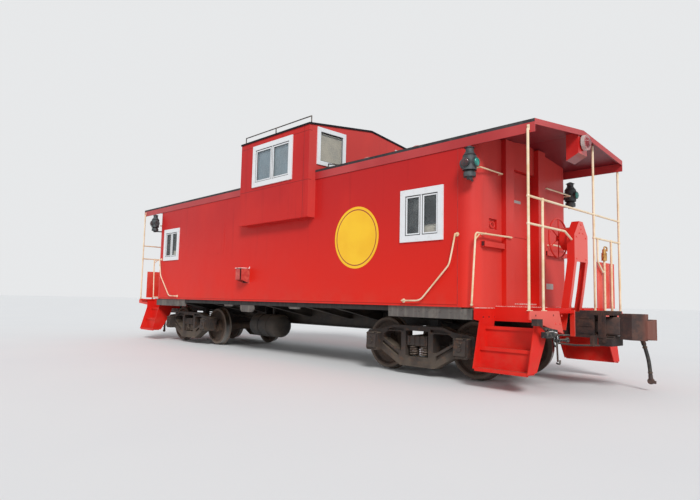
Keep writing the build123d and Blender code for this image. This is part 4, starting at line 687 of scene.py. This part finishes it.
BODY_PANES = [(3.960, 2.415), (-4.080, 2.430)]
CUPOLA_Y = 1.602
LOOKOUT_X, LOOKOUT_Z = 0.377, 3.768
CUPOLA_ENDS = ((1.500, 1), (-0.720, -1))
END_PANE_Y, END_PANE_Z = 1.065, 3.935
END_PANE_HALF, END_PANE_UP = 0.276, 0.271
HALF_MULLION = 0.017
GASKET_WIDTH, GASKET_DEPTH, GASKET_LIP = 0.012, 0.009, 0.011
# Each window's side, wall, middle in X and Z, half width, half height, and sash bar's width.
windows = [(side, SIDE_Y, x, z, 0.306, 0.301, 0.020) for side in (1, -1) for x, z in BODY_PANES]
windows += [(side, CUPOLA_Y, LOOKOUT_X, LOOKOUT_Z, 0.551, 0.326, 0.024) for side in (1, -1)]
sashes, gaskets = [], []
for side, wall, x, z, half, up, bar in windows:
    low, high = sorted((side * (wall + 0.010), side * (wall - 0.003)))
    for x0, x1 in ((x - half, x - HALF_MULLION), (x + HALF_MULLION, x + half)):
        gaskets.append(rim_frame("gasket", (x0, low, z - up), (x1, low + GASKET_DEPTH, z + up),
                                 GASKET_WIDTH, "Y"))
        sashes.append(rim_frame("sash", (x0 + GASKET_LIP, low, z - up + GASKET_LIP),
                                (x1 - GASKET_LIP, high, z + up - GASKET_LIP), bar, "Y"))
for x, out in CUPOLA_ENDS:
    low = min(x + out * 0.010, x - out * 0.003)
    for y in (END_PANE_Y, -END_PANE_Y):
        inner = (low, y - END_PANE_HALF, END_PANE_Z - END_PANE_UP)
        outer = (low + GASKET_DEPTH, y + END_PANE_HALF, END_PANE_Z + END_PANE_UP)
        gaskets.append(rim_frame("gasket", inner, outer, GASKET_WIDTH, "X"))
fitted(joined("window_sashes", sashes), "car", white)
fitted(joined("window_gaskets", gaskets), "car", gasket)

# The blinds behind the panes: painted metal slats on tapes, dark in the body's windows and pale
# in the cupola's ends, let down and closed. Those in the cupola's sides are grey blue, a painted
# reflection of the sky in the glass.
def blind(name, width, top, bottom, pitch):
    """Slats hanging in the plane Y = 0 from a top rail to a bottom rail, middle at X = 0."""
    half = width / 2
    slat = block("slat", (-half, -0.0006, -pitch * 0.55), (half, 0.0006, pitch * 0.55))
    tilt = Matrix.Rotation(math.radians(16), 4, "X")
    heights = [bottom + pitch * (i + 0.5) for i in range(int((top - bottom) / pitch))]
    slats = repeated("slats", slat, [Matrix.Translation((0, 0, z)) @ tilt for z in heights])
    rail = block("rail", (-half, -0.010, top), (half, 0.010, top + 0.022), 0.002)
    foot = block("foot", (-half, -0.008, bottom - 0.014), (half, 0.008, bottom), 0.002)
    return joined(name, [slats, rail, foot])


def hung(name, finish, spots):
    """Hangs a blind at each spot: its width, top, bottom and pitch, and the move to its place."""
    shades = []
    for width, top, bottom, pitch, move in spots:
        shades.append(blind("shade", width, top, bottom, pitch))
        shades[-1].data.transform(move)
    fitted(joined(name, shades), "car", finish)


dark_blind = Finish("blind_dark", Roughness=0.55)
dark_blind.feed("Base Color", dark_blind.place.noise(5, 3).blend(ink(34, 24, 20), ink(52, 38, 30)))
pale_blind = Finish("blind_pale", Roughness=0.6)
pale_tones = ink(236, 226, 206), ink(218, 206, 184)
pale_blind.feed("Base Color", pale_blind.place.noise(3, 3).blend(*pale_tones))
# Painted reflection: the grey blue of the cupola's side blinds stands for the sky seen in the
# glass.
reflection_blind = Finish("blind_grey", Roughness=0.6)
reflection_tones = ink(172, 190, 200), ink(150, 166, 176)
reflection_blind.feed("Base Color", reflection_blind.place.noise(3, 3).blend(*reflection_tones))
hung("body_blinds", dark_blind, [
    (0.288, z + 0.29, z - foot, 0.034, Matrix.Translation((x + dx, side * (SIDE_Y - 0.034), 0)))
    for side in (1, -1) for x, z in BODY_PANES for dx, foot in ((-0.156, 0.24), (0.156, 0.13))
])
hung("lookout_blinds", reflection_blind, [
    (0.530, LOOKOUT_Z + 0.30, LOOKOUT_Z - 0.32, 0.032,
     Matrix.Translation((LOOKOUT_X + dx, side * (CUPOLA_Y - 0.036), 0)))
    for side in (1, -1) for dx in (-0.284, 0.284)
])
quarter = Matrix.Rotation(math.pi / 2, 4, "Z")
hung("cupola_blinds", pale_blind, [
    (0.56, END_PANE_Z + 0.24, END_PANE_Z - 0.255, 0.030,
     Matrix.Translation((x - out * 0.036, y, 0)) @ quarter)
    for x, out in CUPOLA_ENDS for y in (END_PANE_Y, -END_PANE_Y)
])

# The window stools and the cards, behind the body's windows: a worn board stands low in one pane of
# each and a pale painted card in the other.
STOOLS = ("window_stools", -0.30, -0.01, -0.235, boards)
CARDS = ("window_cards", 0.01, 0.30, -0.150, pale_blind)
for name, x0, x1, top, finish in (STOOLS, CARDS):
    cards = []
    for side in (1, -1):
        near, far = sorted((side * (SIDE_Y - 0.060), side * (SIDE_Y - 0.052)))
        for x, z in BODY_PANES:
            low, high = (x + x0, near, z - 0.318), (x + x1, far, z + top)
            cards.append(block("card", low, high, 0.002))
    fitted(joined(name, cards), "car", finish)

# The panes: clear sheet glass pressed into the gaskets, with a film of dust on it. Behind it are
# the blinds or the dark of the cabin.
glass = Finish("window_glass")
film = glass.place.noise(4, 4, 0.6).between(0.35, 0.8)
glass.feed("Base Color", film.blend(ink(120, 132, 136), ink(150, 156, 156)))
glass.feed("Roughness", 0.03 + film * 0.10)
glass.feed("Alpha", 0.14 + film * 0.12)
glass.on("window_glass")

# The end walls and doors: steel sheets and hung steel doors in the same enamel. Like all that faces
# along the car, they are painted paler and pinker here, which is painted light.
end_paint = red_enamel("end_enamel")
end_paint.on("end_wall_a", "end_wall_b", "end_door_a", "end_door_b")

# The plates on the ends: bare grey sheet, one on the door and one low on the wall beside it, each
# held by two round-headed screws.
plate_grey = Finish("plate_grey", Metallic=0.3, Roughness=0.45)
smudge = plate_grey.place.noise(14, 3, 0.6)
plate_grey.feed("Base Color", smudge.blend(ink(150, 146, 142), ink(196, 194, 190)))
plate_grey.relief(smudge, 0.001)
# The turn that takes a piece, made at end a, to each end.
AT_END = {"a": Matrix.Rotation(0, 4, "Z"), "b": Matrix.Rotation(math.pi, 4, "Z")}
for end, turn in AT_END.items():
    plate = screwed_plate("door_plate_" + end, (4.810, -0.338, 2.657), (4.814, -0.076, 2.700),
                          (1, 0, 0), [(4.814, y, 2.6785) for y in (-0.325, -0.089)], 0.005, 0.003)
    plate.data.transform(turn)
    fitted(plate, "door_" + end, plate_grey)
    plate = screwed_plate("wall_plate_" + end, (4.880, 0.578, 1.372), (4.884, 0.824, 1.462),
                          (1, 0, 0), [(4.884, y, 1.417) for y in (0.595, 0.807)], 0.006, 0.003)
    plate.data.transform(turn)
    fitted(plate, "car", plate_grey)

# The hook in the recess of each end wall: a forged ring that hangs on a pin driven into the wall,
# painted over with it.
for end, turn in AT_END.items():
    ring = fresh("ring", bpy.ops.mesh.primitive_torus_add, major_radius=0.040,
                 minor_radius=0.009, major_segments=28, minor_segments=10,
                 location=(4.866, -0.968, 2.236), rotation=(0.25, math.pi / 2, 0))
    pin = fresh("pin", bpy.ops.mesh.primitive_cylinder_add, vertices=12, radius=0.010,
                depth=0.040, location=(4.858, -0.968, 2.280), rotation=ALONG_X)
    worked(pin, "BEVEL", width=0.003, segments=2, limit_method="ANGLE")
    hook = joined("wall_hook_" + end, [ring, pin])
    hook.data.transform(turn)
    fitted(hook, "car", end_paint)

# The main roof: steel sheets under a black coating, dusty and patched, with its fascia, letterboard
# and underside in dull red. The underside is painted darker, as painted shade.
roof = Finish("roof_coat")
patch = roof.place.noise(1.4, 4, 0.6)
tar = patch.between(0.4, 0.65).blend(ink(38, 36, 40), ink(62, 58, 60))
tar = (roof.place.noise(9, 4, 0.6).between(0.5, 0.75) * 0.4).blend(tar, ink(112, 102, 94))
cloud = roof.place.noise(0.9, 3)
red = cloud.between(0.4, 0.7).blend(ink(172, 48, 50), ink(186, 64, 64))
# Painted shade: the roof's underside is a darker maroon.
red = (1 - roof.nz.between(-0.6, -0.2)).blend(red, ink(112, 30, 38))
on_top = roof.nz.between(0.35, 0.6)
edge = roof.z.between(3.425, 3.430) * abs(roof.ny).between(0.6, 0.8)
coat = on_top.either(edge)
roof.feed("Base Color", coat.blend(red, tar))
roof.feed("Roughness", 0.42 + coat * 0.3)
roof.relief(roof.place.noise(1.8, 2) + roof.place.noise(90, 3) * 0.06, 0.008)
roof.on("main_roof")

# The cupola: steel panels on a frame, in the same enamel, with the joints of its sheets showing as
# fine dark lines under the eaves, under the window and near the corner.
CUPOLA_SEAMS = [("z", 4.185, False), ("z", 3.280, False), ("x", 1.350, False)]
cupola_paint = red_enamel("cupola_enamel", CUPOLA_SEAMS)
cupola_paint.on("cupola_sides")
plain_paint.on("cupola_ends")

# The cupola's roof: steel sheet over curved ribs, in black enamel that is dull with age, with dust
# on all that faces up.
black = Finish("roof_black", Specular_IOR_Level=0.15)
speck = black.place.noise(3, 5, 0.65)
dust = black.nz.between(0.5, 0.9) * speck.between(0.35, 0.7) * 0.6
black.feed("Base Color", dust.blend(ink(36, 33, 37), ink(118, 112, 108)))
black.feed("Roughness", 0.6 + speck * 0.25)
black.relief(speck, 0.003)
black.on("cupola_roof")

# The rails over the cupola: round bar bent to shape and fixed to the roof's ends, its black enamel
# worn to grey steel in patches.
bar = Finish("roof_bar_black", Metallic=0.2)
worn = bar.place.noise(18, 4, 0.6).between(0.45, 0.6)
bar.feed("Base Color", worn.blend(ink(58, 54, 54), ink(122, 112, 104)))
bar.feed("Roughness", 0.45 + worn * 0.2)
bar.relief(worn, 0.0006)
bar.on("roof_rails")

# The ventilators on the roof: spun steel domes on short necks, painted with the car, bleached and
# dusty on top.
dome = Finish("vent_red")
bloom = dome.nz.between(0.0, 0.9) * dome.place.noise(7, 4, 0.6).between(0.2, 0.7)
dome.feed("Base Color", (bloom * 0.8).blend(ink(168, 54, 50), ink(196, 148, 142)))
dome.feed("Roughness", 0.45 + bloom * 0.25)
dome.relief(dome.place.noise(30, 3), 0.001)
dome.on("roof_vents")

# The platforms and steps: red plate with a raised pattern that gives a foothold, worn to bright
# steel in patches where boots land.
tread = Finish("tread_plate", Specular_IOR_Level=0.15)
slant = tread.x + tread.y
cross = tread.x - tread.y
TREAD_WAVES = 130
weave = slant.maths("SINE", slant * TREAD_WAVES) * cross.maths("SINE", cross * TREAD_WAVES)
bars = weave.between(0.25, 0.6) * tread.nz.between(0.8, 0.95)
red = tread.place.noise(1.2, 3).between(0.4, 0.7).blend(ink(214, 36, 30), ink(222, 46, 36))
dust = tread.place.noise(7, 4, 0.6).between(0.3, 0.7)
dust = (1 - tread.z.between(0.2, 1.2)) * dust * 0.18
red = dust.either(tread.nz.between(0.8, 0.95) * 0.35).blend(red, ink(164, 104, 86))
bright = bars * tread.place.noise(12, 3).between(0.42, 0.6)
tread.feed("Base Color", (bright * 0.7).blend(red, ink(170, 158, 150)))
tread.feed("Roughness", 0.42 + dust * 0.6)
tread.feed("Metallic", bright * 0.6)
tread.relief(bars + tread.place.noise(2, 2) * 0.4, 0.003)
tread.on("platforms", "steps")

# The footholds: a strip with raised studs along each platform's edge over the steps, a pale strip
# on each door's sill, and a pale strip at the foot of each end wall beside the step wells.
def at_both_ends(name, pieces, finish):
    """Joins the pieces of end a, repeats them at end b, and fixes both to the car."""
    both = repeated(name, joined(name, pieces), AT_END.values())
    fitted(both, "car", finish)


scuffed = Finish("scuffed_steel", Metallic=0.3, Roughness=0.5)
rub = scuffed.place.noise(30, 3, 0.6).between(0.35, 0.6)
scuffed.feed("Base Color", rub.blend(ink(214, 120, 110), ink(242, 218, 208)))
scuffed.relief(rub, 0.0006)
PLATFORM_TOP = 1.089
STUD_PITCH = 0.0275
strips = []
for y in (0.915, -0.915):
    low, high = (4.884, y - 0.015, PLATFORM_TOP - 0.004), (5.648, y + 0.015, PLATFORM_TOP)
    strips.append(block("strip", low, high, 0.001))
    studs = [Matrix.Translation((4.900 + STUD_PITCH * i, y, PLATFORM_TOP)) for i in range(28)]
    strips.append(repeated("studs", rivet("rivet", 0.007, 0.006), studs))
strips.append(block("sill strip", (4.876, -0.510, 1.130), (4.909, 0.220, 1.134), 0.001))
strips.append(block("sill lip", (4.905, -0.510, 1.119), (4.909, 0.220, 1.131), 0.001))
for y in (1.179, -1.179):
    strips.append(block("edge", (4.880, y - 0.246, 1.057), (4.887, y + 0.246, 1.068), 0.001))
at_both_ends("footholds", strips, scuffed)

# Painted shade: thin dark plates in the open ends of the ledge boxes on the end walls, which are
# folded from sheet, and the back, the baffle and the filter within the vent hood, all coloured dark
# red to stand for the shade inside.
shade = Finish("box_inside", Roughness=0.8)
shade.feed("Base Color", shade.place.noise(12, 2).blend(ink(64, 14, 18), ink(88, 24, 26)))
gaps = [
    block("gap", (4.886, y - 0.0005, 1.911), (4.934, y + 0.0005, 1.974))
    for y in (-1.2675, -0.7505, 0.5295, 1.2675)
]
at_both_ends("ledge_openings", gaps, shade)
inside = [
    block("back", (-0.756, -SIDE_Y - 0.004, 1.440), (-0.554, -SIDE_Y, HOOD_TOP)),
    block("baffle", (-0.755, HOOD_FACE + 0.005, 1.508), (-0.555, -SIDE_Y, 1.512)),
    block("filter", (-0.755, HOOD_FACE + 0.030, 1.512), (-0.555, HOOD_FACE + 0.034, HOOD_TOP)),
]
fitted(joined("hood_inside", inside), "car", shade)

# The ends: sills, collision stands, brake housings and brake wheels are in the same red enamel,
# over heavier plate and castings with eased edges.
plain_paint.on("end_sills", "collision_stands", "brake_housings", "brake_wheel_a", "brake_wheel_b")

# The bolts of the ends: round heads, painted over, on each end sill beside the coupler's housing
# and in the head of the collision stand.
SILL_X, STAND_X, WALL_X = 5.710, 5.712, 4.880
END_BOLTS = [(SILL_X, y, 0.984) for y in (-0.640, 0.640)]
END_BOLTS += [(SILL_X, y, 0.880) for y in (-0.800, -0.680, 0.680, 0.800)]
END_BOLTS += [(STAND_X, y, z) for y, z in (
    (-0.150, 2.090), (0.150, 2.090), (-0.150, 1.780), (0.150, 1.780),
    (0, 2.210), (0, 2.270), (-0.06, 2.150), (0.06, 2.150),
)]
for end, turn in AT_END.items():
    moves = [towards(spot, (1, 0, 0)) for spot in END_BOLTS]
    bolts = repeated("end_bolts_" + end, rivet("rivet", 0.013, 0.010), moves)
    bolts.data.transform(turn)
    fitted(bolts, "car", plain_paint)

# The feet of the collision stands: a flat steel bar from each leg down the side of the coupler's
# housing, painted with the stand.
feet = []
for side in (1, -1):
    low, high = sorted((side * 0.201, side * 0.217))
    feet.append(block("foot", (5.632, low, 0.697), (5.700, high, 1.060), 0.002))
at_both_ends("stand_feet", feet, plain_paint)

# The open bolt holes, drilled through the plate and left free: thin dark discs on the face, painted
# shade for the dark inside them. Four are in each end sill, and six in the inner stringers of the
# steps at each end.
HOLES = [(SILL_X, y, 0.989) for y in (-1.332, -0.865, 0.865, 1.332)]
HOLES += [(WALL_X, y, 0.940) for y in (-1.213, -1.071, -0.925, 0.925, 1.071, 1.213)]
hole = fresh("hole", bpy.ops.mesh.primitive_cylinder_add, vertices=16, radius=0.012,
             depth=0.002, location=(0, 0, 0))
holes = repeated("bolt_holes", hole, [towards(spot, (1, 0, 0)) for spot in HOLES])
at_both_ends("bolt_holes", [holes], shade)

# The railings and grab irons: steel pipe and bar in cream enamel, yellower where it is sheltered,
# rubbed by hands, with rust at the feet.
cream = Finish("rail_cream", Coat_Weight=0.1)
hands = cream.place.noise(5, 4, 0.6)
tone = hands.between(0.35, 0.7).blend(ink(236, 216, 186), ink(222, 190, 146))
chips = cream.place.noise(60, 4, 0.7).between(0.68, 0.71)
feet = (1 - cream.z.between(1.09, 1.25)) * 0.4
tone = chips.either(feet * hands.between(0.4, 0.6)).blend(tone, ink(140, 92, 60))
cream.feed("Base Color", tone)
cream.feed("Roughness", 0.4 + hands * 0.2)
cream.relief(cream.place.noise(70, 3), 0.0008)
cream.on("railings", "hand_rails")

# The corner posts' tops: each pipe is hammered flat there and held to the letterboard by one
# hexagon bolt.
lugs = []
for y in (1, -1):
    low, high = sorted((y * 1.4402, y * 1.4470))
    lugs.append(block("lug", (5.669, low, 3.325), (5.707, high, 3.405), 0.003))
    lugs.append(bolt_head("bolt", 0.013, 0.011, 6))
    lugs[-1].data.transform(towards((5.688, y * 1.447, 3.386), (0, y, 0)))
at_both_ends("post_lugs", lugs, cream)

# The valve pipe of each end, cream to its top, where a cast brass valve is screwed on, and the red
# sheet behind it that shields it from the platform.
valve = Finish("valve_pipe")
is_brass = valve.z.between(1.800, 1.812) * abs(valve.x).between(5.658, 5.662)
is_shield = 1 - abs(valve.x).between(5.655, 5.658)
scuff = valve.place.noise(20, 4, 0.6).between(0.4, 0.7)
metal = scuff.blend(ink(206, 160, 96), ink(160, 116, 66))
pipe = scuff.blend(ink(234, 214, 182), ink(214, 184, 142))
sheet = valve.place.noise(2, 3).between(0.35, 0.7).blend(ink(214, 56, 44), ink(226, 92, 78))
valve.feed("Base Color", is_shield.blend(is_brass.blend(pipe, metal), sheet))
valve.feed("Metallic", is_brass * 0.75)
valve.feed("Roughness", 0.36 + scuff * 0.12)
valve.relief(scuff, 0.0008)
valve.on("valve_pipes")

# The couplers: heavy castings, rust brown under old paint, the knuckle's face rubbed, each with a
# deeper neck round its shank, and the hose heads, cast alike. The couplers' housings and levers and
# the angle cocks are darker and more even.
rough = Finish("coupler_steel", Metallic=0.2)
skin = rough.place.noise(9, 5, 0.65)
oxide = skin.between(0.4, 0.68).blend(ink(74, 64, 62), ink(102, 78, 70))
rubbed = abs(rough.x).between(6.53, 6.60) * 0.7
tone = rubbed.blend(oxide, ink(132, 82, 70))
top = rough.nz.between(0.4, 0.9) * rough.place.noise(6, 4).between(0.3, 0.65) * 0.6
rough.feed("Base Color", top.blend(tone, ink(134, 116, 102)))
rough.feed("Roughness", 0.68 + skin * 0.2)
rough.relief(skin * 0.6 + rough.place.noise(120, 3) * 0.4, 0.004)
rough.on("coupler_a", "coupler_b", "hose_head_a", "hose_head_b")
for end, turn in AT_END.items():
    neck = block("coupler_neck_" + end, (5.990, -0.085, 0.734), (6.262, 0.085, 0.980), 0.028)
    neck.data.transform(turn)
    fitted(neck, "coupler_" + end, rough)
housing = Finish("housing_steel", Metallic=0.1)
skin = housing.place.noise(7, 5, 0.65)
tone = skin.between(0.42, 0.7).blend(ink(50, 41, 40), ink(84, 60, 50))
top = housing.nz.between(0.4, 0.9) * 0.5
housing.feed("Base Color", top.blend(tone, ink(118, 104, 92)))
housing.feed("Roughness", 0.7 + skin * 0.15)
housing.relief(skin, 0.003)
housing.on("draft_housings", "uncoupling_levers", "angle_cocks")

# The carrier iron under each coupler's shank: a heavy block, hung from the housing's mouth by a
# strap on each side, with a pin through their feet.
carrier = [
    block("carrier", (6.000, -0.190, 0.592), (6.185, 0.190, 0.698), 0.008),
    block("saddle", (6.074, -0.110, 0.690), (6.180, 0.110, 0.724), 0.004),
]
for y in (-0.1925, 0.1925):
    carrier.append(block("strap", (6.071, y - 0.0075, 0.650), (6.111, y + 0.0075, 1.035), 0.003))
carrier.append(fresh("pin", bpy.ops.mesh.primitive_cylinder_add, vertices=24, radius=0.030,
                     depth=0.420, rotation=ALONG_Y, location=(6.091, 0, 0.662)))
at_both_ends("carrier_irons", carrier, housing)

# The fittings of the cut levers: the flat bar and the block that each lever turns in, the forged
# links that lift the coupler's lock, the pin they hang on, and the grip bent at the handle's foot.
def bent_bar(name, points, radius):
    """A round bar bent along a line of points, as a mesh."""
    piece = tube(name, points, radius, 3, 6)
    alone(piece)
    bpy.ops.object.convert(target="MESH")
    return piece


def link(place, stretch):
    """A forged link that hangs in the plane across X, longer than it is wide."""
    piece = fresh("link", bpy.ops.mesh.primitive_torus_add, major_radius=0.046,
                  minor_radius=0.010, major_segments=28, minor_segments=10, rotation=ALONG_X)
    piece.data.transform(Matrix.Translation(place) @ Matrix.Diagonal((1, 1, stretch, 1)))
    return piece


LEVER_X = 5.770
ROD_LINE = [(-0.900, 0.738), (-0.720, 0.736), (-0.550, 0.727)]
PIN_LINE = [(-0.880, 0.668), (-0.740, 0.672), (-0.600, 0.664)]
GRIP_LINE = [(-0.8175, 0.415), (-0.812, 0.372), (-0.860, 0.366), (-0.912, 0.386)]
forged_black = Finish("forged_black", Metallic=0.2)
rub = forged_black.place.noise(24, 4, 0.6).between(0.45, 0.7)
worn = (forged_black.nz.between(0.3, 0.9) * 0.7).either(rub * 0.6)
forged_black.feed("Base Color", worn.blend(ink(38, 40, 42), ink(150, 142, 130)))
forged_black.feed("Roughness", 0.5 + rub * 0.25)
forged_black.relief(rub, 0.001)
bar = block("bar", (LEVER_X + 0.006, -0.17, -0.015), (LEVER_X + 0.018, 0.17, 0.015), 0.002)
bar.data.transform(Matrix.Translation((0, -1.075, 0.812)) @ Matrix.Rotation(-0.13, 4, "X"))
fittings = [
    bar,
    block("bearing", (LEVER_X - 0.058, -1.215, 0.706), (LEVER_X + 0.022, -0.985, 0.784), 0.010),
    block("ear", (LEVER_X - 0.058, -0.985, 0.742), (LEVER_X + 0.004, -0.900, 0.766), 0.004),
    link((LEVER_X + 0.016, -0.975, 0.672), 1.5),
    link((LEVER_X + 0.004, -0.895, 0.690), 1.3),
    bent_bar("rod", [(LEVER_X, y, z) for y, z in ROD_LINE], 0.011),
    bent_bar("pin", [(LEVER_X, y, z) for y, z in PIN_LINE], 0.018),
    block("boss", (LEVER_X - 0.026, -0.632, 0.632), (LEVER_X + 0.026, -0.572, 0.698), 0.020),
    bent_bar("grip", [(LEVER_X, y, z) for y, z in GRIP_LINE], 0.012),
]
at_both_ends("lever_fittings", fittings, forged_black)

# The lights at the ends of the roof: a housing of folded sheet, painted red, with a pale metal ring
# that holds a ribbed red lens.
LIGHT_Z = 3.455
RAY_WAVES = 420
signal = Finish("end_light", Coat_Weight=0.4, Coat_Roughness=0.05)
from_middle = signal.y.across(signal.z - LIGHT_Z)
is_lens = abs(signal.x).between(5.828, 5.832)
is_ring = abs(signal.x).between(5.773, 5.777) * (1 - is_lens)
shell = signal.place.noise(3, 3).between(0.4, 0.7).blend(ink(196, 40, 38), ink(204, 56, 52))
# Painted shade: the housing's underside is a darker red.
shell = (1 - signal.nz.between(-0.6, -0.2)).blend(shell, ink(140, 34, 36))
ring = signal.place.noise(25, 3).blend(ink(176, 166, 160), ink(206, 198, 192))
rays = from_middle.maths("SINE", from_middle * RAY_WAVES)
lens = (rays * 0.5 + 0.5).blend(ink(104, 20, 28), ink(146, 36, 44))
signal.feed("Base Color", is_lens.blend(is_ring.blend(shell, ring), lens))
signal.feed("Roughness", 0.36 - is_lens * 0.18)
signal.relief(rays * is_lens + signal.place.noise(3, 2), 0.001)
signal.on("end_lights")

# The marker lamps: cast iron lanterns that hang at the body's corners, in dark grey enamel that
# has chalked, with two black bands.
lantern = Finish("lantern_grey", Metallic=0.2)
bands = lantern.z.near(2.908, 0.012, 0.003).either(lantern.z.near(3.126, 0.008, 0.003))
haze = lantern.place.noise(14, 4, 0.6).between(0.3, 0.7)
tone = haze.blend(ink(44, 48, 50), ink(84, 90, 92))
lantern.feed("Base Color", bands.blend(tone, ink(22, 22, 24)))
lantern.feed("Roughness", 0.42 + haze * 0.25)
lantern.relief(lantern.place.noise(90, 3), 0.0012)
lantern.on("marker_lamps")

# The lamps' lenses: pressed glass domes with flutes, set in the lanterns' sockets. They are green
# towards the car's ends and dark red to the sides.
def lens_dome(name, radius, rise):
    """A shallow dome of glass that stands on the plane Z = 0."""
    piece = fresh(name, bpy.ops.mesh.primitive_uv_sphere_add, segments=32, ring_count=16,
                  radius=radius)
    picked(piece, lambda face: True)
    bpy.ops.mesh.bisect(plane_co=(0, 0, 0), plane_no=(0, 0, 1), use_fill=True, clear_inner=True)
    done()
    piece.data.transform(Matrix.Diagonal((1, 1, rise / radius, 1)))
    alone(piece)
    bpy.ops.object.shade_smooth_by_angle(angle=math.radians(50))
    return piece


LAMPS = [(x, y) for x in (4.868, -4.868) for y in (1.530, -1.530)]
LENS_Z, LENS_OUT_X, LENS_OUT_Y = 3.020, 0.118, 0.112
FLUTE_WAVES = 700
GREEN = ink(8, 104, 96), ink(30, 150, 134)
DARK = ink(30, 12, 16), ink(64, 20, 24)
for name, colours in (("green", GREEN), ("dark", DARK)):
    tint = Finish("lens_" + name, Roughness=0.1, Coat_Weight=0.6, Coat_Roughness=0.04)
    tint.feed("Base Color", tint.place.noise(18, 2).between(0.35, 0.65).blend(*colours))
    if name == "green":
        flutes = tint.y
        spots = [((x + math.copysign(LENS_OUT_X, x), y, LENS_Z), (x, 0, 0)) for x, y in LAMPS]
    else:
        flutes = tint.x
        spots = [((x, y + math.copysign(LENS_OUT_Y, y), LENS_Z), (0, y, 0)) for x, y in LAMPS]
    tint.relief(flutes.maths("SINE", flutes * FLUTE_WAVES), 0.0006)
    moves = [towards(spot, out) for spot, out in spots]
    lens = repeated("lamp_lenses_" + name, lens_dome("dome", 0.060, 0.024), moves)
    fitted(lens, "car", tint)
